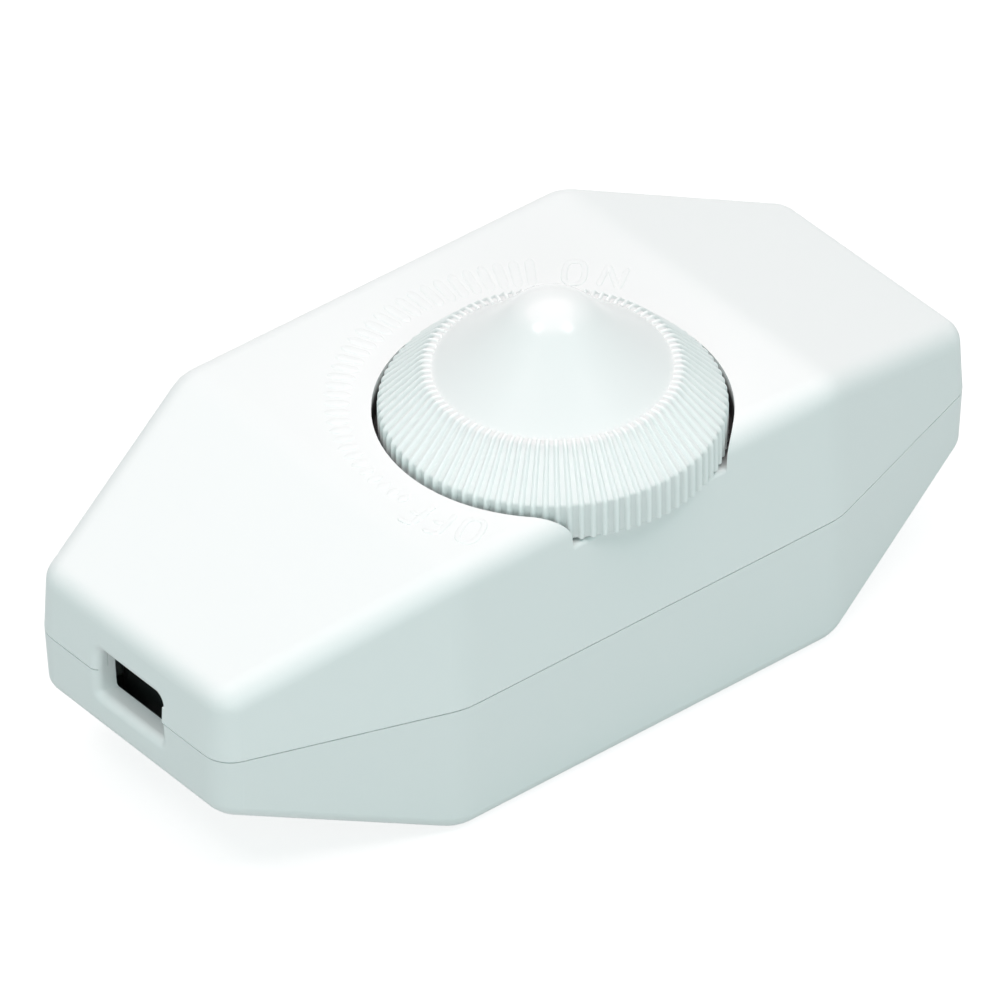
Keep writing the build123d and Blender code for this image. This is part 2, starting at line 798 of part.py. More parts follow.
# Choke: a wound ferrite rod lying across the board
choke_x, choke_y = choke_spot
choke_z = board_top + winding_lift + winding_radius
choke_plane = Plane(origin=(choke_x, choke_y, choke_z), x_dir=(1, 0, 0), z_dir=(0, 1, 0))
with BuildPart() as choke_core:
    with BuildSketch(choke_plane):
        Circle(choke_core_radius)
    extrude(amount=choke_core_length / 2, both=True)
save(choke_core, "choke_core")

with BuildPart() as choke_winding:
    with BuildSketch(choke_plane):
        Circle(winding_radius)
        Circle(choke_core_radius + slip, mode=Mode.SUBTRACT)
    extrude(amount=winding_length / 2, both=True)
save(choke_winding, "choke_winding")
leads += [(choke_x, choke_y + y, choke_z - winding_radius) for y in (-choke_lead_y, choke_lead_y)]

# Capacitors
with BuildPart() as suppressor_capacitor:
    with BuildSketch(Plane.XY.offset(board_top)):
        with Locations(suppressor_spot):
            Rectangle(suppressor_size[0], suppressor_size[1])
    extrude(amount=suppressor_size[2])
    fillet(suppressor_capacitor.edges().filter_by(Axis.Z), box_rounding)
save(suppressor_capacitor, "suppressor_capacitor")
suppressor_x, suppressor_y = suppressor_spot
for reach in (-suppressor_lead_pitch / 2, suppressor_lead_pitch / 2):
    leads.append((suppressor_x + reach, suppressor_y, board_top))

for number, (x, y, turn) in enumerate(film_spots, start=1):
    with BuildPart() as film_capacitor:
        with BuildSketch(Plane.XY.offset(board_top)):
            with Locations(Location((x, y, 0), (0, 0, turn))):
                Rectangle(film_size[0], film_size[1])
        extrude(amount=film_size[2])
        fillet(film_capacitor.edges().filter_by(Axis.Z), box_rounding)
    save(film_capacitor, f"timing_capacitor_{number}")
    reach = film_lead_pitch / 2
    for end in (-reach, reach):
        leads.append((x + end * cos(radians(turn)), y + end * sin(radians(turn)), board_top))

# Glass fuse in two clips
fuse_x, fuse_y = fuse_spot
fuse_z = board_top + fuse_lift
fuse_plane = Plane(origin=(fuse_x, fuse_y, fuse_z), x_dir=(0, 1, 0), z_dir=(1, 0, 0))
glass_length = fuse_length - 2 * fuse_cap_wall
with BuildPart() as fuse_tube:
    with BuildSketch(fuse_plane):
        Circle(fuse_cap_radius - fuse_cap_wall - slip)
        Circle(fuse_bore_radius, mode=Mode.SUBTRACT)
    extrude(amount=glass_length / 2, both=True)
save(fuse_tube, "fuse_tube")

with BuildPart() as fuse_wire:
    with BuildSketch(fuse_plane):
        Circle(fuse_wire_radius)
    extrude(amount=glass_length / 2, both=True)
save(fuse_wire, "fuse_wire")

with BuildPart() as fuse_caps:
    with BuildSketch(fuse_plane):
        Circle(fuse_cap_radius)
    extrude(amount=fuse_length / 2, both=True)
    with BuildSketch(fuse_plane):
        Circle(fuse_cap_radius - fuse_cap_wall)
    extrude(amount=glass_length / 2, both=True, mode=Mode.SUBTRACT)
    with BuildSketch(fuse_plane):
        Circle(fuse_cap_radius + beyond)
    extrude(amount=fuse_length / 2 - fuse_cap_length, both=True, mode=Mode.SUBTRACT)
save(fuse_caps, "fuse_caps")

clip_reach = (fuse_length - fuse_cap_length) / 2
clip_inner = fuse_cap_radius + clip_clearance
clip_outer = clip_inner + clip_thickness
with BuildPart() as fuse_clips:
    for x in (fuse_x - clip_reach, fuse_x + clip_reach):
        with BuildSketch(cross_plane(x)):
            with Locations((fuse_y, fuse_z)):
                Circle(clip_outer)
            with Locations((fuse_y, (board_top + fuse_z) / 2)):
                Rectangle(clip_inner, fuse_z - board_top)
            with Locations((fuse_y, fuse_z)):
                Circle(clip_inner, mode=Mode.SUBTRACT)
            with Locations((fuse_y, fuse_z + clip_outer)):
                Rectangle(clip_mouth, 2 * clip_outer, mode=Mode.SUBTRACT)
        extrude(amount=clip_length / 2, both=True)
        leads += [(x, fuse_y - clip_inner / 4, board_top), (x, fuse_y + clip_inner / 4, board_top)]
save(fuse_clips, "fuse_clips")

# Resistors and the trigger diode, with leads bent down into the board
axial_parts = [(x, y, resistor_radius, resistor_length) for x, y in resistor_spots]
axial_parts.append((*diac_spot, diac_radius, diac_length))


def axial_body(x, y, radius, length):
    """Round body with bevelled ends, lying along X just above the board."""
    z = board_top + axial_lift + radius
    with BuildPart() as body:
        with BuildSketch(Plane(origin=(x - length / 2, y, z), x_dir=(0, 1, 0), z_dir=(1, 0, 0))):
            Circle(radius)
        extrude(amount=length)
        chamfer(body.edges(), radius * axial_end_share)
    return body.part


resistor_bodies = [axial_body(*part) for part in axial_parts[:-1]]
with BuildPart() as resistors:
    for body in resistor_bodies:
        add(body)
save(resistors, "resistors")

diac_body = axial_body(*axial_parts[-1])
with BuildPart() as diac:
    add(diac_body)
save(diac, "diac")

with BuildPart() as axial_leads:
    for x, y, radius, length in axial_parts:
        z = board_top + axial_lift + radius
        for way in (-1, 1):
            start = x + way * length / 2
            foot_x = x + way * axial_lead_pitch / 2
            with BuildLine(axial_plane(0, y)) as bend:
                Polyline(
                    (start, z),
                    (foot_x - way * axial_bend, z),
                    (foot_x, z - axial_bend),
                    (foot_x, lead_foot),
                )
            with BuildSketch(Plane(origin=(start, y, z), x_dir=(0, 1, 0), z_dir=(way, 0, 0))):
                Circle(lead_radius)
            sweep(path=bend.wires()[0], transition=Transition.RIGHT)
            board_holes.append((foot_x, y, lead_radius + lead_clearance))
save(axial_leads, "axial_leads")

# Terminal blocks, one at each end, each with two cages and two screws
cage_bottom = board_top + cage_lift
cage_top = cage_bottom + cage_height
wire_z = cage_bottom + cage_size / 2
block_top = board_top + terminal_height
screw_head_z = cage_top + slip
pole_spots = ((0, -terminal_pitch / 2), (0, terminal_pitch / 2))
for side, end in sides:
    block_x = side * terminal_x
    with BuildPart() as terminal_block:
        with BuildSketch(Plane.XY.offset(board_top)):
            with Locations((block_x, 0)):
                Rectangle(terminal_depth, terminal_width)
        extrude(amount=terminal_height)
        outer_top = terminal_block.faces().sort_by(Axis.Z)[-1].edges().filter_by(Axis.Y)
        chamfer(outer_top.sort_by(Axis.X)[0 if side < 0 else -1], terminal_chamfer)
        with BuildSketch(Plane.XY.offset(cage_bottom)):
            with Locations((block_x, 0)):
                with Locations(*pole_spots):
                    Rectangle(cage_depth + 2 * cage_clearance, cage_size + 2 * cage_clearance)
        extrude(amount=cage_height + cage_clearance, mode=Mode.SUBTRACT)
        with BuildSketch(Plane.XY.offset(cage_top)):
            with Locations((block_x, 0)):
                with Locations(*pole_spots):
                    Circle(terminal_screw_head_radius + terminal_screw_clearance)
        extrude(amount=block_top - cage_top, mode=Mode.SUBTRACT)
        with BuildSketch(Plane.XY.offset(board_top)):
            with Locations((block_x, 0)):
                with Locations(*pole_spots):
                    Circle(pin_radius + lead_clearance)
        extrude(amount=cage_lift, mode=Mode.SUBTRACT)
        with BuildSketch(cross_plane(block_x)):
            with Locations(*[(y, wire_z) for _, y in pole_spots]):
                Circle(wire_hole_radius)
        extrude(amount=side * terminal_depth, mode=Mode.SUBTRACT)
    save(terminal_block, f"terminal_block_{end}")
    terminal_pins += [(block_x, y) for _, y in pole_spots]

with BuildPart() as terminal_cages:
    with BuildSketch(Plane.XY.offset(cage_bottom)):
        with Locations(*terminal_pins):
            Rectangle(cage_depth, cage_size)
    extrude(amount=cage_height)
    with BuildSketch(Plane.XY.offset(cage_top)):
        with Locations(*terminal_pins):
            Circle(terminal_screw_radius + slip)
    extrude(amount=wire_z - cage_top, mode=Mode.SUBTRACT)
    for side, _ in sides:
        with BuildSketch(cross_plane(side * terminal_x)):
            with Locations(*[(y, wire_z) for _, y in pole_spots]):
                Circle(wire_hole_radius)
        extrude(amount=cage_depth, both=True, mode=Mode.SUBTRACT)
save(terminal_cages, "terminal_cages")

with BuildPart() as terminal_screws:
    with BuildSketch(Plane.XY.offset(screw_head_z)):
        with Locations(*terminal_pins):
            Circle(terminal_screw_head_radius)
    extrude(amount=terminal_screw_head_height)
    with BuildSketch(Plane.XY.offset(screw_head_z)):
        with Locations(*terminal_pins):
            Circle(terminal_screw_radius)
    extrude(amount=-terminal_screw_length)
save(terminal_screws, "terminal_screws")

# Straight leads and pins through the board
switch_pins = [(x, knob_y + y) for x, y in switch_pin_spots]
with BuildPart() as component_leads:
    for x, y, upper in leads:
        with BuildSketch(Plane.XY.offset(lead_foot)):
            with Locations((x, y)):
                Circle(lead_radius)
        extrude(amount=upper - lead_foot)
        board_holes.append((x, y, lead_radius + lead_clearance))
save(component_leads, "component_leads")

with BuildPart() as connection_pins:
    for spots, upper in ((switch_pins, switch_bottom), (terminal_pins, cage_bottom)):
        with BuildSketch(Plane.XY.offset(lead_foot)):
            with Locations(*spots):
                Circle(pin_radius)
        extrude(amount=upper - lead_foot)
        board_holes += [(x, y, pin_radius + lead_clearance) for x, y in spots]
save(connection_pins, "connection_pins")

with BuildPart() as circuit_board:
    with BuildSketch(Plane.XY.offset(board_height)):
        Rectangle(board_length, board_end_width)
        Rectangle(board_mid_length, board_mid_width)
        with Locations(*post_spots):
            Circle(peg_radius + peg_clearance, mode=Mode.SUBTRACT)
        for x, y, radius in board_holes:
            with Locations((x, y)):
                Circle(radius, mode=Mode.SUBTRACT)
    extrude(amount=board_thickness)
save(circuit_board, "circuit_board")

# Cord clamps and the screws of the clamps and the case
for side, end in sides:
    with BuildPart() as cord_clamp:
        with BuildSketch(Plane.XY.offset(clamp_top)):
            with Locations((side * clamp_x, 0)):
                RectangleRounded(clamp_width, 2 * (clamp_post_y + clamp_post_radius), clamp_corner)
                with GridLocations(0, 2 * clamp_post_y, 1, 2):
                    Circle(clamp_hole_radius, mode=Mode.SUBTRACT)
        extrude(amount=clamp_thickness)
    save(cord_clamp, f"cord_clamp_{end}")

with BuildPart() as clamp_screws:
    with BuildSketch(Plane.XY.offset(clamp_top + clamp_thickness)):
        with GridLocations(2 * clamp_x, 2 * clamp_post_y, 2, 2):
            Circle(clamp_screw_head_radius)
    extrude(amount=clamp_screw_head_height)
    with BuildSketch(Plane.XY.offset(clamp_top + clamp_thickness)):
        with GridLocations(2 * clamp_x, 2 * clamp_post_y, 2, 2):
            Circle(clamp_screw_core_radius)
    extrude(amount=-clamp_screw_length)
save(clamp_screws, "clamp_screws")

with BuildPart() as case_screws:
    with BuildSketch(Plane.XY.offset(recess_depth)):
        with Locations(*screw_spots):
            Circle(screw_head_radius)
    extrude(amount=-screw_head_height)
    with BuildSketch(Plane.XY.offset(recess_depth)):
        with Locations(*screw_spots):
            Circle(screw_core_radius)
    extrude(amount=screw_length)
save(case_screws, "case_screws")
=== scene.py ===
import json
import math

import bmesh
import bpy
from bpy.props import FloatProperty, FloatVectorProperty, IntProperty, PointerProperty
from mathutils import Matrix, Vector


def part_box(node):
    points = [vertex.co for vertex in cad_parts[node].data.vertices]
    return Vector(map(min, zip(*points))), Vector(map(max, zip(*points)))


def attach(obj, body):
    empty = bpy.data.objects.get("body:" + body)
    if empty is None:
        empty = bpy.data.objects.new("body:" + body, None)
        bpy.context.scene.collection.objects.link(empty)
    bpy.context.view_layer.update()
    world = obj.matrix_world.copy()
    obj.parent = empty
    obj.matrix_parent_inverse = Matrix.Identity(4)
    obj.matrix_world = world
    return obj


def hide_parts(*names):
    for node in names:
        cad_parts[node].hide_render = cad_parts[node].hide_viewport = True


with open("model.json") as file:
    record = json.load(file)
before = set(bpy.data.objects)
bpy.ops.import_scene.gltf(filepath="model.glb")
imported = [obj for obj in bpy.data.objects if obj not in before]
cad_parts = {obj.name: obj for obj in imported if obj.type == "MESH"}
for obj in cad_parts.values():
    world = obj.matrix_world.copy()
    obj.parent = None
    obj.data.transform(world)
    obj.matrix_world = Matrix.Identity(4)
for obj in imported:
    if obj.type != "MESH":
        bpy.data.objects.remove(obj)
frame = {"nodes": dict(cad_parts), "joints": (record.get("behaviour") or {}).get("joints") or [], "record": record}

bl_info = {
    "name": "Inline Cord Dimmer",
    "version": (1, 0, 0),
    "blender": (4, 5, 0),
    "location": "3D View > Sidebar > Dimmer",
    "description": "Gives the packed cord dimmer its finishes, its fine knob and its raised scale",
    "category": "Object",
}

MM = 0.001
SHARP_ANGLE = math.radians(50)

# Read off the frame
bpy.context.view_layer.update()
KNOB_LOW, KNOB_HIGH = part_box("knob")
KNOB_RADIUS = (KNOB_HIGH.x - KNOB_LOW.x) / 2
KNOB_AXIS = Vector(frame["joints"][0]["pos_m"])
COVER_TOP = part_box("cover")[1].z
COVER_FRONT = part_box("cover")[0].y

# Where the shells get painted shade, as (not yet, fully). First the gap between the knob and its well
WELL_WALL = (KNOB_RADIUS + 0.68 * MM, KNOB_RADIUS + 0.66 * MM)
WELL_DEPTH = (COVER_TOP - 0.3 * MM, COVER_TOP - 1.6 * MM)
WELL_SILL = (KNOB_LOW.z - 0.6 * MM, KNOB_LOW.z - 0.5 * MM)
WELL_FRONT = (COVER_FRONT + 1.2 * MM, COVER_FRONT + 3.5 * MM)
# Then the hollows behind the cord mouths, from the housing's middle; their floors rise outward
MOUTH_WALL = (47.4 * MM, 47.1 * MM)
MOUTH_BACK = (30 * MM, 33 * MM)
MOUTH_SIDE = (11.5 * MM, 11 * MM)
MOUTH_ROOF = (22.5 * MM, 22 * MM)
MOUTH_FLOOR = (-7.6 * MM, -7.3 * MM)
FLOOR_SLOPE = 0.372

# The knob's shine grows from the first height to the second
WORN_TIP = (KNOB_HIGH.z - 8 * MM, KNOB_HIGH.z - 0.5 * MM)

# The knob's section: roundings too small for a setting, and the steps of each stretch
CREST_LEAN = 0.05 * MM
CREST_EDGE = 0.14 * MM
GROOVE_BEND = 0.6 * MM
FOOT_LINE = 0.35 * MM
FOOT_EDGE = 0.15 * MM
TIP_STEPS = 14
FLANK_STEPS = 16
STRAIGHT_STEPS = 5
BEND_STEPS = 6
EDGE_STEPS = 4
FOOT_STEPS = 3
RIB_COLUMNS = (0.0, 0.25, 0.45, 0.65, 0.83, 1.0)  # from a rib's middle to its foot
JOIN_DISTANCE = 0.0004 * MM  # sectors join where their edges are closer than this

# Painted shade and light along the knob's ribs, from 0 for the darkest to 1 for the lightest plastic: painted
# shade in the grooves and painted light on the ribs' tops, both strongest on the rim and at the crest
ROUND_TONE = 0.55
PAINTED_GROOVE_SHADE, PAINTED_RIM_SHADE, PAINTED_CREST_SHADE = 0.5, 0.45, 0.6
PAINTED_RIB_LIGHT, PAINTED_RIB_LIFT = 0.92, 0.08
FULL_RIB = 0.2 * MM
TONE_BLEND = 1.0 * MM
PAINTED_DARKEST, PAINTED_LIGHTEST = 0.9, 1.08  # what these ends are of the knob's colour

# Raised marks: ends draw in over a share of the width, by a share of the width
END_REACH, END_TAPER = 0.8, 0.86
MARK_SIDES = 20
BAR_POINTS = 26
LETTER_STEP = 0.09 * MM
STROKE_DROP = 0.008 * MM  # a letter's later strokes lie lower, so that no faces coincide

# Letters: angle about the knob's axis in degrees, and distance from it
WORDS = (("O", 44.9, 23.1 * MM), ("N", 34.8, 23.1 * MM),
         ("O", 208.7, 22.3 * MM), ("F", 199.5, 22.3 * MM), ("F", 192.2, 22.3 * MM))

# The stage, in metres. A lamp: name, setting that holds its strength, direction, distance,
# size and tint
WHITE = (1.0, 1.0, 1.0)
LAMPS = (
    ("top_light", "top", (0.07, 0.12, 1.0), 1.2, 1.7, (1.0, 0.652, 0.685)),
    ("low_light", "low", (-0.57, -0.78, 0.12), 1.3, 1.0, WHITE),
    ("left_glint", "glint", (-0.476, 0.078, 0.876), 1.0, 0.23, WHITE),
    ("right_glint", "glint", (0.203, -0.467, 0.861), 1.0, 0.23, WHITE),
)
FLOOR_RADIUS, FLOOR_SIDES = 9.0, 96
FLOOR_SHADOW, FLOOR_LIFT = 0.3, 0.82  # of the seen floor: what takes shadow, what glows
VIEW_END = 50.0

# Inputs of a Mix node that mixes colours, and of a Mix or Add node for shaders
MIX_FACTOR, MIX_FROM, MIX_TO = 0, 6, 7
SHADER_FACTOR, SHADER_FROM, SHADER_TO = 0, 1, 2
ADD_FIRST, ADD_SECOND = 0, 1


# Sizes and colours a user would change

def length(name, description, default):
    """A size in metres."""
    return FloatProperty(name=name, description=description, default=default, min=0.0,
                         unit="LENGTH", subtype="DISTANCE", precision=5)


def turn(name, description, degrees):
    """An angle, given in degrees."""
    return FloatProperty(name=name, description=description, default=math.radians(degrees),
                         subtype="ANGLE")


def share(name, description, default):
    """A plain number between 0 and 1."""
    return FloatProperty(name=name, description=description, default=default, min=0.0, max=1.0,
                         subtype="FACTOR")


def strength(name, description, default):
    """How brightly a lamp alone lights white that faces it."""
    return FloatProperty(name=name, description=description, default=default, min=0.0)


def colour(name, description, default):
    """A linear colour."""
    return FloatVectorProperty(name=name, description=description, default=default, size=3,
                               min=0.0, max=1.0, subtype="COLOR")


class ShellSettings(bpy.types.PropertyGroup):
    shade: colour("Shell colour", "Moulded white of cover, base and clamps", (0.865, 0.905, 0.895))
    grain: length("Grain", "Size of the spark-eroded grain", 0.28 * MM)
    depth: length("Grain depth", "Height of the spark-eroded grain", 0.006 * MM)
    roughness: share("Roughness", "Roughness of the eroded surface", 0.52)
    # Painted shade: share of the colour left where no light gets in
    painted_shade: share("Depths", "Share of the colour left where no light gets in", 0.08)


class KnobSettings(bpy.types.PropertyGroup):
    gloss: share("Gloss", "Strength of the knob's reflections", 0.22)
    shade: colour("Knob colour", "Moulded white of the knob", (0.855, 0.892, 0.882))
    roughness: share("Roughness", "Roughness of the shine on the knob's worn tip", 0.17)
    flank_roughness: share("Flank roughness", "Roughness of the knob under that shine", 0.42)
    shine: share("Shine", "How much the worn tip shines", 0.8)
    ribs: IntProperty(name="Ribs", description="Ribs round the knob", default=90, min=12)
    rib_height: length("Rib height", "From the groove's floor to the rib's top", 0.36 * MM)
    rib_share: share("Rib share", "Share of the pitch that a rib takes at its foot", 0.58)
    rim_height: length("Rim height", "Upright part of the ribbed band", 4.35 * MM)
    shoulder: length("Shoulder rounding", "Rounding of the ribs from rim to cone", 0.9 * MM)
    crest_radius: length("Crest radius", "Where the ribbed cone ends", 13.5 * MM)
    crest_rise: length("Crest rise", "Height of the cone, rim to crest", 4.5 * MM)
    crest_step: length("Crest step", "Rib ends above the foot of the centre", 0.2 * MM)
    crest_rounding: length("Crest rounding", "Rounding of the ribs from cone to crest", 1.0 * MM)
    hat_radius: length("Centre radius", "Foot of the smooth centre", 12.4 * MM)
    tip_radius: length("Tip radius", "Rounding of the tip", 6.4 * MM)
    tip_angle: turn("Tip angle", "Slope where the round tip meets the flank", 46.0)
    wall: length("Wall", "Wall of the hollow knob", 1.6 * MM)
    hub_radius: length("Hub radius", "Outside of the hub", 5.0 * MM)
    bore_radius: length("Bore radius", "Bore for the shaft", 3.05 * MM)
    bore_depth: length("Bore depth", "Depth of the bore", 8.8 * MM)


class ScaleSettings(bpy.types.PropertyGroup):
    bars: IntProperty(name="Bars", description="Bars of the brightness scale", default=34, min=2)
    first: turn("First bar", "Angle of the bar next to ON", 56.1)
    pitch: turn("Pitch", "Angle between bars", 3.93)
    inner: length("Inner radius", "Inner ends of the bars", 20.75 * MM)
    longest: length("Longest bar", "Length of the bar next to ON", 4.9 * MM)
    shortest: length("Shortest bar", "Length of the bar next to OFF", 1.55 * MM)
    width: length("Bar width", "Width of a bar", 1.05 * MM)
    stroke: length("Stroke", "Width of a letter's stroke", 0.68 * MM)
    high: length("Letter height", "Height of a letter", 4.6 * MM)
    wide: length("Letter width", "Width of an O or N", 2.8 * MM)
    rise: length("Rise", "Height of the raised marks", 0.12 * MM)


class StageSettings(bpy.types.PropertyGroup):
    azimuth: turn("Azimuth", "Camera's turn about the vertical", -39.1)
    elevation: turn("Elevation", "Camera above the horizon", 37.46)
    roll: turn("Roll", "Camera's own tilt", -0.437)
    distance: length("Distance", "Camera to the point aimed at", 1.62366)
    lens: FloatProperty(name="Lens", description="Focal length in millimetres", default=566.45)
    aim: FloatVectorProperty(name="Aim", description="Point in the middle of the picture",
                             default=(-0.00045, 0.00072, 0.01687), size=3, subtype="XYZ")
    ambient: share("Ambient", "Strength of the even light all round", 0.385)
    air: colour("Ambient colour", "Colour of the even light all round", (0.495, 1.0, 0.97))
    top: strength("Top light", "How brightly the top light alone lights white", 0.955)
    low: strength("Low light", "How brightly the low light alone lights white", 0.378)
    glint: strength("Glints", "How brightly each small light alone lights white", 0.125)
    floor: share("Floor tone", "How much light the floor sends back", 0.5)


# Node trees

class Value:
    """One output socket of a node tree; arithmetic on it adds Math nodes."""

    def __init__(self, tree, socket):
        self.tree = tree
        self.socket = socket

    def math(self, operation, *values):
        numbered = dict(enumerate(values))
        return self.tree.node("ShaderNodeMath", numbered, operation=operation)["Value"]

    def __add__(self, other):
        return self.math("ADD", self, other)

    def __sub__(self, other):
        return self.math("SUBTRACT", self, other)

    def __rsub__(self, other):
        return self.math("SUBTRACT", other, self)

    def __mul__(self, other):
        return self.math("MULTIPLY", self, other)

    def __truediv__(self, other):
        return self.math("DIVIDE", self, other)

    def __pow__(self, other):
        return self.math("POWER", self, other)

    def __abs__(self):
        return self.math("ABSOLUTE", self)

    __radd__ = __add__
    __rmul__ = __mul__

    def low(self, other):
        """The lower of two values."""
        return self.math("MINIMUM", self, other)

    def high(self, other):
        """The higher of two values."""
        return self.math("MAXIMUM", self, other)

    def cos(self):
        return self.math("COSINE", self)

    def sin(self):
        return self.math("SINE", self)


def ramp(value, start, end):
    """Runs from 0 at the start to 1 at the end, and stays there."""
    part = (value - start) * (1.0 / (end - start))
    return part.high(0.0).low(1.0)


class Tree:
    """A shader or geometry tree that is filled by one method."""

    def __init__(self, tree):
        self.tree = tree

    def node(self, kind, values=None, **settings):
        """Add a node, make its settings, set or link its inputs. Returns its outputs by name."""
        made = self.tree.nodes.new(kind)
        for name, setting in settings.items():
            setattr(made, name, setting)
        for key, value in (values or {}).items():
            if isinstance(value, Value):
                self.tree.links.new(value.socket, made.inputs[key])
            else:
                made.inputs[key].default_value = value
        return {output.name: Value(self, output) for output in made.outputs if output.enabled}


class Finish(Tree):
    """A material: its shader is set once with its constants, then varied by linked values."""

    def __init__(self, name, shade, roughness, metallic=0.0, **constants):
        self.material = bpy.data.materials.new(name)
        self.material.use_nodes = True
        super().__init__(self.material.node_tree)
        self.tree.nodes.clear()
        self.shader = self.tree.nodes.new("ShaderNodeBsdfPrincipled")
        output = self.tree.nodes.new("ShaderNodeOutputMaterial")
        self.tree.links.new(self.shader.outputs["BSDF"], output.inputs["Surface"])
        self.shade = shade
        self.roughness = roughness
        self.shader.inputs["Base Color"].default_value = (*shade, 1.0)
        self.shader.inputs["Roughness"].default_value = roughness
        self.shader.inputs["Metallic"].default_value = metallic
        for socket, value in constants.items():
            self.shader.inputs[socket.replace("_", " ")].default_value = value
        self.coords = self.node("ShaderNodeTexCoord")["Object"]

    def feed(self, name, value):
        """Link a value to an input of the shader."""
        self.tree.links.new(value.socket, self.shader.inputs[name])

    def axes(self):
        """Object coordinates as three values."""
        parts = self.node("ShaderNodeSeparateXYZ", {"Vector": self.coords})
        return parts["X"], parts["Y"], parts["Z"]

    def stretch(self, along):
        """Object coordinates scaled by a factor along each axis."""
        return self.node("ShaderNodeMapping", {"Vector": self.coords, "Scale": along},
                         vector_type="POINT")["Vector"]

    def noise(self, size, detail=2.0, coords=None):
        """Noise of a real size, from 0 to 1."""
        return self.node("ShaderNodeTexNoise", {
            "Vector": coords or self.coords, "Scale": 1.0 / size, "Detail": detail})["Fac"]

    def tint(self, mask, shade):
        """Base colour goes from the plain shade to another one by a mask."""
        mixed = self.node("ShaderNodeMix", {
            MIX_FACTOR: mask, MIX_FROM: (*self.shade, 1.0), MIX_TO: (*shade, 1.0)},
            data_type="RGBA")
        self.feed("Base Color", mixed["Result"])

    def dim(self, mask, left):
        """Painted shade: what a mask covers keeps only a share of its tinted base colour."""
        tinted = Value(self, self.shader.inputs["Base Color"].links[0].from_socket)
        mixed = self.node("ShaderNodeMix", {
            MIX_FACTOR: mask, MIX_FROM: tinted, MIX_TO: (*toned(self.shade, left), 1.0)},
            data_type="RGBA")
        self.feed("Base Color", mixed["Result"])

    def vary(self, mask, spread):
        """Roughness swings about its plain value by a mask from 0 to 1."""
        self.feed("Roughness", (mask - 0.5) * spread + self.roughness)

    def bump(self, height, depth):
        """Surface height from a value between 0 and 1, over a depth in metres."""
        values = {"Height": height, "Strength": 1.0, "Distance": depth}
        self.feed("Normal", self.node("ShaderNodeBump", values)["Normal"])


# Finishes

def toned(shade, factor):
    """A shade made darker or lighter by a factor, white at most."""
    return tuple(min(1.0, factor * part) for part in shade)


def painted_depth_shade(made):
    """Mask of the painted shade where no light gets in: 1 in the gap round the knob and in the hollows behind the
    mouths.
    """
    x, y, z = made.axes()
    across, along = x - KNOB_AXIS.x, y - KNOB_AXIS.y
    radius = (across * across + along * along) ** 0.5
    well = ramp(radius, *WELL_WALL) * ramp(z, *WELL_DEPTH)
    well = well * ramp(z, *WELL_SILL) * ramp(y, *WELL_FRONT)
    outward = abs(x)
    mouth = ramp(outward, *MOUTH_WALL) * ramp(outward, *MOUTH_BACK)
    mouth = mouth * ramp(abs(y), *MOUTH_SIDE) * ramp(z, *MOUTH_ROOF)
    mouth = mouth * ramp(z - FLOOR_SLOPE * outward, *MOUTH_FLOOR)
    return well.high(mouth)


def shell_plastic(look):
    """White plastic out of a spark-eroded mould, with painted shade where no light gets in."""
    made = Finish("shell_plastic", tuple(look.shade), look.roughness)
    grain = made.noise(look.grain, detail=3.0)
    whiter = 0.04
    paler = tuple(part + whiter * (1.0 - part) for part in look.shade)
    made.tint(made.noise(9 * MM), paler)
    # Painted shade in the gap round the knob and in the hollows behind the mouths
    made.dim(painted_depth_shade(made), look.painted_shade)
    made.vary(grain, spread=0.12)
    made.bump(grain, look.depth)
    return made.material


def knob_plastic(look):
    """The same plastic out of a polished mould, with painted shade in the grooves and painted light on the ribs'
    tops, and shiny at the tip.
    """
    made = Finish("knob_plastic", toned(look.shade, PAINTED_DARKEST), look.flank_roughness,
                  Specular_IOR_Level=look.gloss, Coat_Roughness=look.roughness)
    ripple = made.noise(1.6 * MM)
    # Painted shade in the grooves and painted light on the ribs' tops, stored on the mesh
    tone = made.node("ShaderNodeAttribute", attribute_name="painted_rib_shading")["Fac"]
    made.tint(tone, toned(look.shade, PAINTED_LIGHTEST))
    worn = ramp(made.axes()[2], *WORN_TIP)
    worn = worn * worn * (3.0 - 2.0 * worn)
    made.feed("Coat Weight", worn * look.shine)
    made.vary(ripple, spread=0.06)
    made.bump(ripple, depth=0.001 * MM)
    return made.material


def moulded(name, shade, roughness, coat=0.0):
    """Small moulded or dipped part with a faint orange peel."""
    made = Finish(name, shade, roughness, Coat_Weight=coat)
    peel = made.noise(0.6 * MM)
    made.tint(made.noise(2.5 * MM), toned(shade, 0.82))
    made.vary(peel, spread=0.1)
    made.bump(peel, depth=0.006 * MM)
    return made.material


def plated(name, shade, roughness, along=(1.0, 1.0, 1.0)):
    """Metal with a fine grain drawn out along one way and a little tarnish."""
    made = Finish(name, shade, roughness, metallic=1.0)
    grain = made.noise(0.12 * MM, coords=made.stretch(along))
    made.tint(made.noise(1.8 * MM), toned(shade, 0.74))
    made.vary(grain, spread=0.2)
    made.bump(grain, depth=0.002 * MM)
    return made.material


def wound_copper(name, shade):
    """Enamelled wire laid turn by turn along the rod, which lies along Y."""
    made = Finish(name, shade, roughness=0.22, metallic=0.85)
    wire = 0.45 * MM
    wave = (made.axes()[1] * (2 * math.pi / wire)).cos() * 0.5 + 0.5
    # Painted shade: darker in the valleys between the turns
    made.tint(1.0 - wave, toned(shade, 0.35))
    made.vary(made.noise(0.4 * MM), spread=0.1)
    made.bump(wave, depth=0.12 * MM)
    return made.material


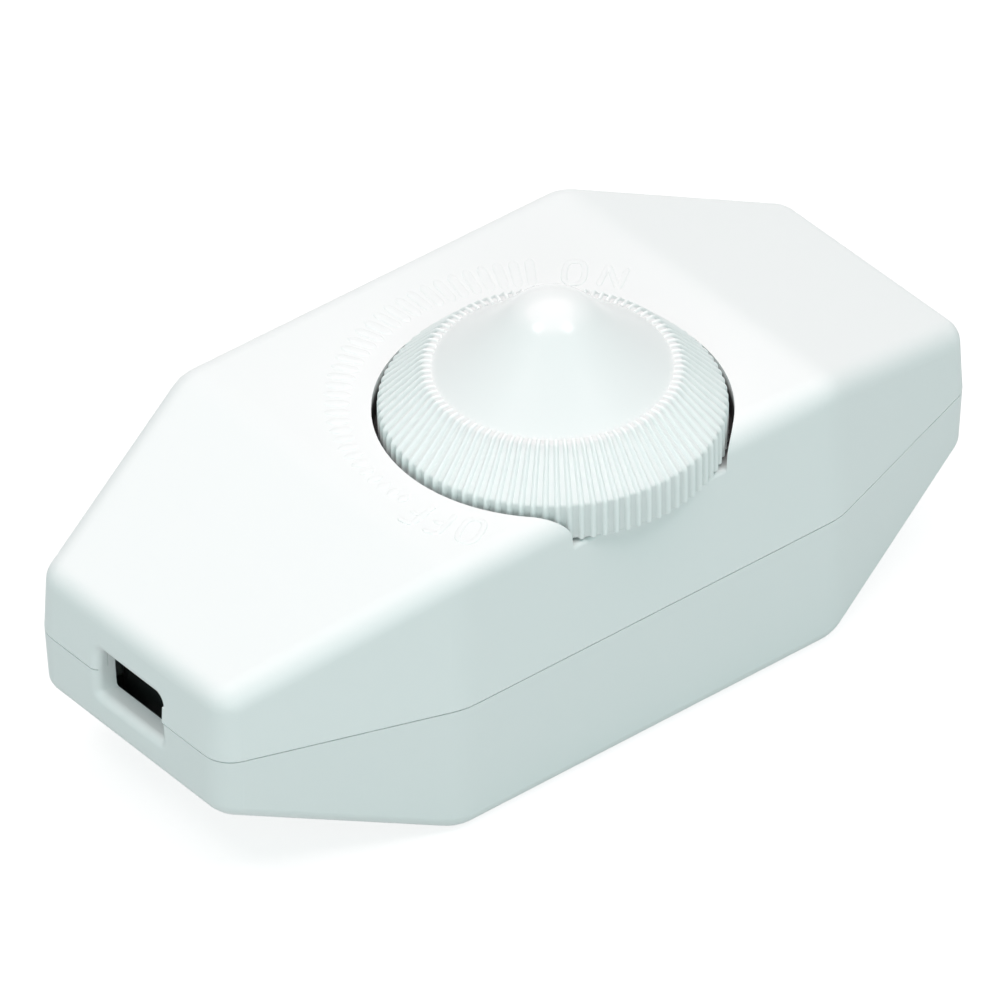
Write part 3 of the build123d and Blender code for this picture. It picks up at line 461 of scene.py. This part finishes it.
def laminate(name, shade, weave):
    """Board with the weave of its cloth just showing."""
    made = Finish(name, shade, roughness=0.42)
    x, y = made.axes()[:2]
    turns = 2 * math.pi / weave
    cloth = (x * turns).sin() * (y * turns).sin() * 0.5 + 0.5
    made.tint(cloth * 0.6 + made.noise(2 * MM) * 0.4, toned(shade, 0.7))
    made.vary(made.noise(0.3 * MM), spread=0.15)
    made.bump(cloth, depth=0.01 * MM)
    return made.material


def sintered(name, shade):
    """Ferrite: hard, dark and finely pitted."""
    made = Finish(name, shade, roughness=0.5)
    pits = made.noise(0.09 * MM, detail=4.0)
    made.tint(pits, toned(shade, 1.9))
    made.vary(pits, spread=0.25)
    made.bump(pits, depth=0.02 * MM)
    return made.material


def banded(name, shade):
    """Lacquered resistor with colour bands across its length, along X."""
    made = Finish(name, shade, roughness=0.25)
    low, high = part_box("resistors")
    along = (made.axes()[0] - low.x) / (high.x - low.x)
    brown, black, orange, gold = ((0.25, 0.09, 0.02), (0.03, 0.03, 0.03), (0.75, 0.42, 0.03),
                                  (0.55, 0.4, 0.12))
    stops = [(0.0, shade), (0.18, brown), (0.27, shade), (0.38, black), (0.47, shade),
             (0.58, orange), (0.67, shade), (0.82, gold), (0.91, shade)]
    bands = made.node("ShaderNodeValToRGB", {"Fac": along})["Color"]
    table = bands.socket.node.color_ramp
    table.interpolation = "CONSTANT"
    while len(table.elements) < len(stops):
        table.elements.new(1.0)
    for element, (place, band) in zip(table.elements, stops):
        element.position = place
        element.color = (*band, 1.0)
    made.feed("Base Color", bands)
    made.vary(made.noise(0.5 * MM), spread=0.1)
    return made.material


def fuse_glass(name, shade):
    """Clear tube with faint drawing lines."""
    made = Finish(name, shade, roughness=0.06, Transmission_Weight=1.0, IOR=1.5)
    lines = made.noise(0.5 * MM, coords=made.stretch((0.05, 1.0, 1.0)))
    made.vary(lines, spread=0.04)
    made.bump(lines, depth=0.002 * MM)
    return made.material


def slot_finishes(shells, knob):
    """Every material slot of the record with its finish."""
    upright = (1.0, 1.0, 0.03)
    makers = {
        "shaft_plastic": (moulded, 0.4),
        "black_plastic": (moulded, 0.45),
        "grey_plastic": (moulded, 0.4),
        "brown_laminate": (laminate, 0.9 * MM),
        "board_laminate": (laminate, 1.2 * MM),
        "plated_steel": (plated, 0.3),
        "tinned_wire": (plated, 0.34, upright),
        "sink_aluminium": (plated, 0.38, upright),
        "contact_brass": (plated, 0.3),
        "ferrite": (sintered,),
        "enamelled_copper": (wound_copper,),
        "yellow_box": (moulded, 0.3),
        "red_epoxy": (moulded, 0.2, 0.5),
        "beige_lacquer": (banded,),
        "blue_lacquer": (moulded, 0.2),
        "fuse_glass": (fuse_glass,),
    }
    shade = {entry["slot"]: tuple(entry["base_color"][:3])
             for entry in frame["record"]["materials"]}
    finishes = {"shell_plastic": shell_plastic(shells), "knob_plastic": knob_plastic(knob)}
    for slot, (maker, *rest) in makers.items():
        finishes[slot] = maker(slot, shade[slot], *rest)
    return finishes


# Meshes

def new_object(name, data):
    """An object at the origin, linked to the scene."""
    made = bpy.data.objects.new(name, data)
    bpy.context.scene.collection.objects.link(made)
    return made


def new_piece(name, mesh, material):
    """An object at the origin that holds a finished mesh."""
    mesh.name = name
    mesh.materials.clear()
    mesh.materials.append(material)
    return new_object(name, mesh)


def grown(source, group, inputs):
    """The smooth mesh that a geometry tree makes of a mesh or curve, which is then removed."""
    base = new_object(source.name, source)
    modifier = base.modifiers.new(group.name, "NODES")
    modifier.node_group = group
    for item in group.interface.items_tree:
        if item.in_out == "INPUT" and item.name in inputs:
            modifier[item.identifier] = inputs[item.name]
    bpy.context.view_layer.update()
    graph = bpy.context.evaluated_depsgraph_get()
    mesh = bpy.data.meshes.new_from_object(base.evaluated_get(graph), depsgraph=graph)
    bpy.data.objects.remove(base)
    if isinstance(source, bpy.types.Mesh):
        bpy.data.meshes.remove(source)
    else:
        bpy.data.curves.remove(source)
    mesh.shade_smooth()
    mesh.set_sharp_from_angle(angle=SHARP_ANGLE)
    return mesh


def geometry_tree(name, **inputs):
    """An empty geometry tree with named inputs and their kinds. Returns the tree and its inputs."""
    group = bpy.data.node_groups.new(name, "GeometryNodeTree")
    group.interface.new_socket("Geometry", in_out="INPUT", socket_type="NodeSocketGeometry")
    for label, kind in inputs.items():
        group.interface.new_socket(label, in_out="INPUT", socket_type="NodeSocket" + kind)
    group.interface.new_socket("Geometry", in_out="OUTPUT", socket_type="NodeSocketGeometry")
    tree = Tree(group)
    return tree, tree.node("NodeGroupInput")


def finish_tree(tree, geometry, material):
    """Every tree ends here, where the material is set. Returns its node group."""
    painted = tree.node("GeometryNodeSetMaterial", {"Geometry": geometry, "Material": material})
    tree.node("NodeGroupOutput", {"Geometry": painted["Geometry"]})
    return tree.tree


def points_at_origin(tree, count):
    """Points for copies, and the index that tells them apart."""
    points = tree.node("GeometryNodeMeshLine", {"Count": count, "Offset": (0, 0, 0)})["Mesh"]
    return points, tree.node("GeometryNodeInputIndex")["Index"]


def turned_copies(tree, points, instance, angle, scale=(1.0, 1.0, 1.0)):
    """Real copies of an instance on points, each turned by its own angle about the Z axis."""
    rotation = tree.node("ShaderNodeCombineXYZ", {"Z": angle})["Vector"]
    copies = tree.node("GeometryNodeInstanceOnPoints", {
        "Points": points, "Instance": instance, "Rotation": rotation, "Scale": scale})
    return tree.node("GeometryNodeRealizeInstances", {
        "Geometry": copies["Instances"]})["Geometry"]


def moved(tree, geometry, place):
    """Geometry moved from the origin to its place."""
    return tree.node("GeometryNodeTransform", {
        "Geometry": geometry, "Translation": place})["Geometry"]


def ring_tree():
    """Repeats a sector round the Z axis, joins the copies and puts them in their place."""
    tree, given = geometry_tree("ring_of_sectors", Count="Int", Place="Vector", Merge="Float",
                                Material="Material")
    points, index = points_at_origin(tree, given["Count"])
    angle = index * (2 * math.pi) / given["Count"]
    real = turned_copies(tree, points, given["Geometry"], angle)
    joined = tree.node("GeometryNodeMergeByDistance", {
        "Geometry": real, "Distance": given["Merge"]})["Geometry"]
    return finish_tree(tree, moved(tree, joined, given["Place"]), given["Material"])


def swept_mark(tree, curves, width, rise):
    """Curves lying flat become raised marks with a round top and rounded ends."""
    spline = tree.node("GeometryNodeSplineParameter")["Length"]
    whole = tree.node("GeometryNodeSplineLength")["Length"]
    from_end = spline.low(whole - spline) / (width * END_REACH)
    shy = 1.0 - from_end.low(1.0)
    swell = 1.0 - shy * shy * END_TAPER
    closed = tree.node("GeometryNodeInputSplineCyclic")["Cyclic"]
    level = tree.node("GeometryNodeSetCurveNormal", {"Curve": curves}, mode="Z_UP")["Curve"]
    circle = tree.node("GeometryNodeCurvePrimitiveCircle", {
        "Resolution": MARK_SIDES, "Radius": width * 0.5}, mode="RADIUS")["Curve"]
    flatter = tree.node("ShaderNodeCombineXYZ", {"X": 1.0, "Y": rise * 2.0 / width, "Z": 1.0})
    section = tree.node("GeometryNodeTransform", {
        "Geometry": circle, "Scale": flatter["Vector"]})["Geometry"]
    return tree.node("GeometryNodeCurveToMesh", {
        "Curve": level, "Profile Curve": section, "Scale": swell.high(closed),
        "Fill Caps": True})["Mesh"]


def bar_tree():
    """A ring of bars about the Z axis whose length shrinks steadily from the first to the last."""
    tree, given = geometry_tree("scale_bars", Bars="Int", First="Float", Pitch="Float",
                                Inner="Float", Longest="Float", Shortest="Float", Width="Float",
                                Rise="Float", Place="Vector", Material="Material")
    points, index = points_at_origin(tree, given["Bars"])
    angle = given["First"] + index * given["Pitch"]
    part = index / (given["Bars"] - 1)
    reach = given["Longest"] + part * (given["Shortest"] - given["Longest"])
    start = tree.node("ShaderNodeCombineXYZ", {
        "X": given["Inner"] * angle.cos(), "Y": given["Inner"] * angle.sin()})["Vector"]
    spread = tree.node("GeometryNodeSetPosition", {
        "Geometry": points, "Offset": start})["Geometry"]
    unit = tree.node("GeometryNodeCurvePrimitiveLine", {"Start": (0, 0, 0), "End": (1, 0, 0)})
    scale = tree.node("ShaderNodeCombineXYZ", {"X": reach, "Y": 1.0, "Z": 1.0})["Vector"]
    real = turned_copies(tree, spread, unit["Curve"], angle, scale)
    fine = tree.node("GeometryNodeResampleCurve", {"Curve": real, "Count": BAR_POINTS})["Curve"]
    marks = swept_mark(tree, fine, given["Width"], given["Rise"])
    return finish_tree(tree, moved(tree, marks, given["Place"]), given["Material"])


def letter_tree():
    """Strokes drawn as curves become raised letters."""
    tree, given = geometry_tree("raised_letters", Stroke="Float", Rise="Float", Step="Float",
                                Material="Material")
    fine = tree.node("GeometryNodeResampleCurve", {
        "Curve": given["Geometry"], "Length": given["Step"]}, mode="LENGTH")["Curve"]
    marks = swept_mark(tree, fine, given["Stroke"], given["Rise"])
    return finish_tree(tree, marks, given["Material"])


# The knob's form: lines in the plane of (radius, height above the rim's underside)

def arc(centre, radius, start, end, steps):
    """Points of an arc, both ends included. Angles in degrees."""
    points = []
    for step in range(steps + 1):
        angle = math.radians(start + (end - start) * step / steps)
        points.append((centre[0] + radius * math.cos(angle), centre[1] + radius * math.sin(angle)))
    return points


def between(a, b, steps):
    """Points strictly between two points on a straight line."""
    return [(a[0] + (b[0] - a[0]) * s / steps, a[1] + (b[1] - a[1]) * s / steps)
            for s in range(1, steps)]


def rounded_corner(before, corner, after, radius, steps):
    """The arc that replaces a corner between two straight lines."""
    a = (Vector(before) - Vector(corner)).normalized()
    b = (Vector(after) - Vector(corner)).normalized()
    half = a.angle(b) / 2
    reach = radius / math.tan(half)
    centre = Vector(corner) + (a + b).normalized() * radius / math.sin(half)
    first = Vector(corner) + a * reach - centre
    sweep = -first.angle_signed(Vector(corner) + b * reach - centre)
    return [tuple(centre + Matrix.Rotation(sweep * step / steps, 2) @ first)
            for step in range(steps + 1)]


def flank_line(edge, foot, drop):
    """The centre's hollow flank: a parabola that leaves the tip's edge at its slope."""
    span = foot[0] - edge[0]
    flat = (drop * span - (edge[1] - foot[1])) / span ** 2
    points = []
    for step in range(1, FLANK_STEPS):
        x = span * step / FLANK_STEPS
        points.append((edge[0] + x, edge[1] - drop * x + flat * x * x))
    return points + [foot]


def down_to_rim(line, crest, shoulder, rounding):
    """A line carried on from the crest down the cone, round the shoulder and down the rim."""
    ground = (shoulder[0], 0)
    bend = rounded_corner(crest, shoulder, ground, rounding, BEND_STEPS)
    line = line + between(line[-1], bend[0], STRAIGHT_STEPS) + bend + [(shoulder[0], FOOT_LINE)]
    return line + rounded_corner(shoulder, ground, (0, 0), FOOT_EDGE, FOOT_STEPS)


def rib_line(size, foot):
    """Top of a rib, from the centre's foot over the crest to the rim's underside."""
    height = size.rim_height + size.crest_rise
    inner = (foot[0] + CREST_LEAN, height)
    crest = (size.crest_radius, height)
    shoulder = (KNOB_RADIUS, size.rim_height)
    line = rounded_corner(foot, inner, crest, CREST_EDGE, EDGE_STEPS)
    line += rounded_corner(inner, crest, shoulder, size.crest_rounding, BEND_STEPS)
    return down_to_rim(line, crest, shoulder, size.shoulder)


def groove_line(size, foot):
    """Floor of a groove between the same ends, with as many points as a rib's top."""
    rise = size.rib_height
    slope = math.atan2(size.crest_rise, KNOB_RADIUS - size.crest_radius)
    radius = KNOB_RADIUS - rise
    shoulder = (radius, size.rim_height - rise * (1 - math.sin(slope)) / math.cos(slope))
    crest = (radius - (foot[1] - shoulder[1]) / math.tan(slope), foot[1])
    bend = rounded_corner(foot, crest, shoulder, GROOVE_BEND, BEND_STEPS)
    line = [foot] + between(foot, bend[0], STRAIGHT_STEPS) + bend
    return down_to_rim(line, crest, shoulder, size.shoulder - rise)


def hollow_line(size, edge, foot):
    """Inside of the knob: up its outer wall, down the hub and up the bore for the shaft."""
    room = KNOB_RADIUS - size.rib_height - size.wall
    fall = (edge[1] - foot[1]) / (foot[0] - edge[0])
    under = foot[1] - size.wall * math.hypot(1, fall)
    hub_roof = under + (size.hat_radius - size.hub_radius) * fall
    room_roof = under + (size.hat_radius - room) * fall
    return [(room, 0), (room, room_roof), (size.hub_radius, hub_roof), (size.hub_radius, 0),
            (size.bore_radius, 0), (size.bore_radius, size.bore_depth), (0, size.bore_depth)]


def knob_rows(size):
    """Rows of the knob's section, from the tip out and down, then under it and up the bore.

    Each row is (groove point, rib point), equal where the knob is round.
    """
    top = KNOB_HIGH.z - KNOB_LOW.z
    tip = arc((0, top - size.tip_radius), size.tip_radius, 90,
              90 - math.degrees(size.tip_angle), TIP_STEPS)
    foot = (size.hat_radius, size.rim_height + size.crest_rise - size.crest_step)
    smooth = tip + flank_line(tip[-1], foot, math.tan(size.tip_angle))
    ribbed = zip(groove_line(size, foot), rib_line(size, foot))
    hollow = hollow_line(size, tip[-1], foot)
    return [(point, point) for point in smooth] + list(ribbed) + [
        (point, point) for point in hollow]


def clamped(part):
    """A number held between 0 and 1."""
    return min(max(part, 0.0), 1.0)


def painted_rib_shades(groove, rib, size):
    """Painted shade of the groove, painted light of the rib's top, and how far the rib stands out of the groove,
    from 0 to 1.
    """
    stands = clamped(math.dist(groove, rib) / FULL_RIB)
    upright = clamped((size.rim_height + TONE_BLEND / 2 - rib[1]) / TONE_BLEND)
    crest = clamped((size.crest_radius + TONE_BLEND - rib[0]) / TONE_BLEND)
    low = PAINTED_GROOVE_SHADE - PAINTED_RIM_SHADE * upright - PAINTED_CREST_SHADE * crest
    high = PAINTED_RIB_LIGHT + PAINTED_RIB_LIFT * (upright + crest)
    return low, high, stands


def knob_sector(size):
    """One rib's sector of the knob as a mesh about the Z axis, its rib rounded to a parabola."""
    pitch = 2 * math.pi / size.ribs
    places = [-1.0] + [-place for place in reversed(RIB_COLUMNS)] + list(RIB_COLUMNS[1:]) + [1.0]
    mesh = bmesh.new()
    # Each vertex holds its painted shade or painted light, which the knob's material reads
    tone = mesh.verts.layers.float.new("painted_rib_shading")
    grid = []
    for groove, rib in knob_rows(size):
        row = []
        low, high, stands = painted_rib_shades(groove, rib, size)
        for column, place in enumerate(places):
            up = 1.0 - place * place
            outer = column in (0, len(places) - 1)
            angle = place * pitch * (0.5 if outer else size.rib_share / 2)
            radius = groove[0] + (rib[0] - groove[0]) * up
            height = groove[1] + (rib[1] - groove[1]) * up
            if radius < 0.001 * MM and row:
                row.append(row[0])
                continue
            vertex = mesh.verts.new((radius * math.cos(angle), radius * math.sin(angle), height))
            vertex[tone] = ROUND_TONE + (low + (high - low) * up - ROUND_TONE) * stands
            row.append(vertex)
        grid.append(row)
    for above, below in zip(grid, grid[1:]):
        for column in range(len(places) - 1):
            corners = [above[column], below[column], below[column + 1], above[column + 1]]
            mesh.faces.new(list(dict.fromkeys(corners)))
    data = bpy.data.meshes.new("knob_sector")
    mesh.to_mesh(data)
    mesh.free()
    return data


# Letters

def letter_strokes(letter):
    """Centre lines of a letter that is 2 wide and 2 high about its middle: (points, closed)."""
    if letter == "O":
        turns = 28
        squareness = 0.72
        loop = []
        for step in range(turns):
            angle = 2 * math.pi * step / turns
            loop.append(tuple(math.copysign(abs(part) ** squareness, part)
                              for part in (math.cos(angle), math.sin(angle))))
        return [(loop, True)]
    if letter == "N":
        lines = [[(-1, -1), (-1, 1)], [(-1, 1), (1, -1)], [(1, -1), (1, 1)]]
    else:
        side, middle, tongue = 0.84, 0.1, 0.6
        lines = [[(-side, -1), (-side, 1)], [(-side, 1), (side, 1)],
                 [(-side, middle), (tongue, middle)]]
    return [(line, False) for line in lines]


def letter_curves(words, wide, high, place):
    """Strokes of letters that stand round an axis with their tops outward, as one flat curve."""
    curve = bpy.data.curves.new("letter_strokes", "CURVE")
    curve.dimensions = "3D"
    for letter, degrees, radius in words:
        outward = Vector((math.cos(math.radians(degrees)), math.sin(math.radians(degrees)), 0))
        along = Vector((outward.y, -outward.x, 0))
        middle = place + outward * radius
        for order, (points, closed) in enumerate(letter_strokes(letter)):
            spline = curve.splines.new("POLY")
            spline.points.add(len(points) - 1)
            spline.use_cyclic_u = closed
            for point, (x, y) in zip(spline.points, points):
                spot = middle + along * x * wide / 2 + outward * y * high / 2
                point.co = (spot.x, spot.y, spot.z - order * STROKE_DROP, 1.0)
    return curve


# Stage

def lit_or_seen(tree, lit, seen):
    """One shader for the light that falls on the object, another for what the picture shows."""
    rays = tree.node("ShaderNodeLightPath")
    shown = rays["Is Camera Ray"] + rays["Is Glossy Ray"] + rays["Is Transmission Ray"]
    return tree.node("ShaderNodeMixShader", {
        SHADER_FACTOR: shown.low(1.0), SHADER_FROM: lit, SHADER_TO: seen})["Shader"]


def floor_material(tone):
    """Floor that sends back little light but shows as white, with the object's shadow on it."""
    material = bpy.data.materials.new("studio_floor")
    material.use_nodes = True
    material.node_tree.nodes.clear()
    tree = Tree(material.node_tree)
    matt, pale = (tree.node("ShaderNodeBsdfDiffuse", {"Color": (grey, grey, grey, 1.0)})["BSDF"]
                  for grey in (tone, FLOOR_SHADOW))
    lift = tree.node("ShaderNodeEmission", {"Color": (*WHITE, 1.0), "Strength": FLOOR_LIFT})
    white = tree.node("ShaderNodeAddShader", {ADD_FIRST: pale, ADD_SECOND: lift["Emission"]})
    tree.node("ShaderNodeOutputMaterial", {"Surface": lit_or_seen(tree, matt, white["Shader"])})
    return material


def floor_disc():
    """A round floor at the height of the object's underside."""
    mesh = bmesh.new()
    bmesh.ops.create_circle(mesh, cap_ends=True, segments=FLOOR_SIDES, radius=FLOOR_RADIUS)
    data = bpy.data.meshes.new("studio_floor")
    mesh.to_mesh(data)
    mesh.free()
    return data


def lamp(name, strength, towards, distance, size, tint):
    """A square soft light. Strength is how brightly it alone lights white that faces it."""
    light = bpy.data.lights.new(name, "AREA")
    light.size = size
    light.color = tint
    light.energy = strength * math.pi ** 2 * distance ** 2
    direction = Vector(towards).normalized()
    turned = direction.to_track_quat("Z", "Y").to_matrix().to_4x4()
    new_object(name, light).matrix_world = Matrix.Translation(direction * distance) @ turned


def surroundings(shade, ambient):
    """An even coloured light all round that shows as plain white."""
    world = bpy.data.worlds.new("studio_air")
    world.use_nodes = True
    world.node_tree.nodes.clear()
    tree = Tree(world.node_tree)
    even, white = (tree.node("ShaderNodeBackground", {
        "Color": (*tint, 1.0), "Strength": power})["Background"]
        for tint, power in ((shade, ambient), (WHITE, 1.0)))
    tree.node("ShaderNodeOutputWorld", {"Surface": lit_or_seen(tree, even, white)})
    return world


def aimed_camera(look):
    """The camera that takes the picture, by its turn, height, tilt, distance and aim."""
    lens = bpy.data.cameras.new("camera")
    lens.lens = look.lens
    lens.clip_end = VIEW_END
    level = math.cos(look.elevation)
    back = Vector((math.sin(look.azimuth) * level, -math.cos(look.azimuth) * level,
                   math.sin(look.elevation)))
    right = Vector((0, 0, 1)).cross(back).normalized()
    turned = Matrix((right, back.cross(right), back)).transposed()
    turned = turned @ Matrix.Rotation(look.roll, 3, "Z")
    camera = new_object("camera", lens)
    place = Vector(look.aim) + back * look.distance
    camera.matrix_world = Matrix.Translation(place) @ turned.to_4x4()
    return camera


# Operators

class DIMMER_OT_shells(bpy.types.Operator):
    """Dress the cover, the base and every piece inside with the finish of its slot"""

    bl_idname = "dimmer.shells"
    bl_label = "Shells and inner pieces"

    def execute(self, context):
        scene = context.scene
        finishes = slot_finishes(scene.dimmer_shell, scene.dimmer_knob)
        for entry in frame["record"]["subparts"]:
            node = frame["nodes"][entry["node"]]
            node.data.materials.clear()
            node.data.materials.append(finishes[entry["material_slot"]])
        return {"FINISHED"}


class DIMMER_OT_knob(bpy.types.Operator):
    """Make the ribbed knob from one rib's sector, repeated round its axis"""

    bl_idname = "dimmer.knob"
    bl_label = "Ribbed knob"

    def execute(self, context):
        size = context.scene.dimmer_knob
        material = frame["nodes"]["knob"].data.materials[0]
        place = Vector((KNOB_AXIS.x, KNOB_AXIS.y, KNOB_LOW.z))
        mesh = grown(knob_sector(size), ring_tree(), {
            "Count": size.ribs, "Place": place, "Merge": JOIN_DISTANCE, "Material": material})
        knob = new_piece("ribbed_knob", mesh, material)
        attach(knob, "knob")
        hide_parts("knob")
        return {"FINISHED"}


class DIMMER_OT_scale(bpy.types.Operator):
    """Make the raised bars of the brightness scale and the words at its ends"""

    bl_idname = "dimmer.scale"
    bl_label = "Raised scale"

    def execute(self, context):
        size = context.scene.dimmer_scale
        material = frame["nodes"]["cover"].data.materials[0]
        place = Vector((KNOB_AXIS.x, KNOB_AXIS.y, COVER_TOP))
        bars = grown(bpy.data.meshes.new("bar_seed"), bar_tree(), {
            "Bars": size.bars, "First": size.first, "Pitch": size.pitch, "Inner": size.inner,
            "Longest": size.longest, "Shortest": size.shortest, "Width": size.width,
            "Rise": size.rise, "Place": place, "Material": material})
        curves = letter_curves(WORDS, size.wide - size.stroke, size.high - size.stroke, place)
        letters = grown(curves, letter_tree(), {
            "Stroke": size.stroke, "Rise": size.rise, "Step": LETTER_STEP, "Material": material})
        for name, mesh in (("scale_bars", bars), ("scale_words", letters)):
            piece = new_piece(name, mesh, material)
            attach(piece, "housing")
        return {"FINISHED"}


class DIMMER_OT_stage(bpy.types.Operator):
    """Set up the floor, the soft lights, the surroundings and the camera"""

    bl_idname = "dimmer.stage"
    bl_label = "Stage"

    def execute(self, context):
        scene = context.scene
        look = scene.dimmer_stage
        data = floor_disc()
        new_piece("studio_floor", data, floor_material(look.floor))
        for name, setting, towards, distance, size, tint in LAMPS:
            lamp(name, getattr(look, setting), towards, distance, size, tint)
        scene.world = surroundings(look.air, look.ambient)
        scene.camera = aimed_camera(look)
        scene.view_settings.view_transform = "Standard"
        return {"FINISHED"}


class DIMMER_PT_sidebar(bpy.types.Panel):
    """Buttons and sizes of the dimmer"""

    bl_idname = "DIMMER_PT_sidebar"
    bl_label = "Cord Dimmer"
    bl_space_type = "VIEW_3D"
    bl_region_type = "UI"
    bl_category = "Dimmer"

    def draw(self, context):
        scene = context.scene
        for heading, settings in (("Shells", scene.dimmer_shell), ("Knob", scene.dimmer_knob),
                                  ("Scale", scene.dimmer_scale), ("Stage", scene.dimmer_stage)):
            box = self.layout.box()
            box.label(text=heading)
            for name in settings.__annotations__:
                box.prop(settings, name)
        for operator in OPERATORS:
            self.layout.operator(operator.bl_idname)


SETTINGS = {
    "dimmer_shell": ShellSettings,
    "dimmer_knob": KnobSettings,
    "dimmer_scale": ScaleSettings,
    "dimmer_stage": StageSettings,
}
OPERATORS = (DIMMER_OT_shells, DIMMER_OT_knob, DIMMER_OT_scale, DIMMER_OT_stage)


def register():
    for group in SETTINGS.values():
        bpy.utils.register_class(group)
    for name, group in SETTINGS.items():
        setattr(bpy.types.Scene, name, PointerProperty(type=group))
    for operator in OPERATORS:
        bpy.utils.register_class(operator)
    bpy.utils.register_class(DIMMER_PT_sidebar)


def unregister():
    bpy.utils.unregister_class(DIMMER_PT_sidebar)
    for operator in reversed(OPERATORS):
        bpy.utils.unregister_class(operator)
    for name in SETTINGS:
        delattr(bpy.types.Scene, name)
    for group in SETTINGS.values():
        bpy.utils.unregister_class(group)


def main():
    register()
    bpy.ops.dimmer.shells()
    bpy.ops.dimmer.knob()
    bpy.ops.dimmer.scale()
    bpy.ops.dimmer.stage()


if __name__ == "__main__":
    main()
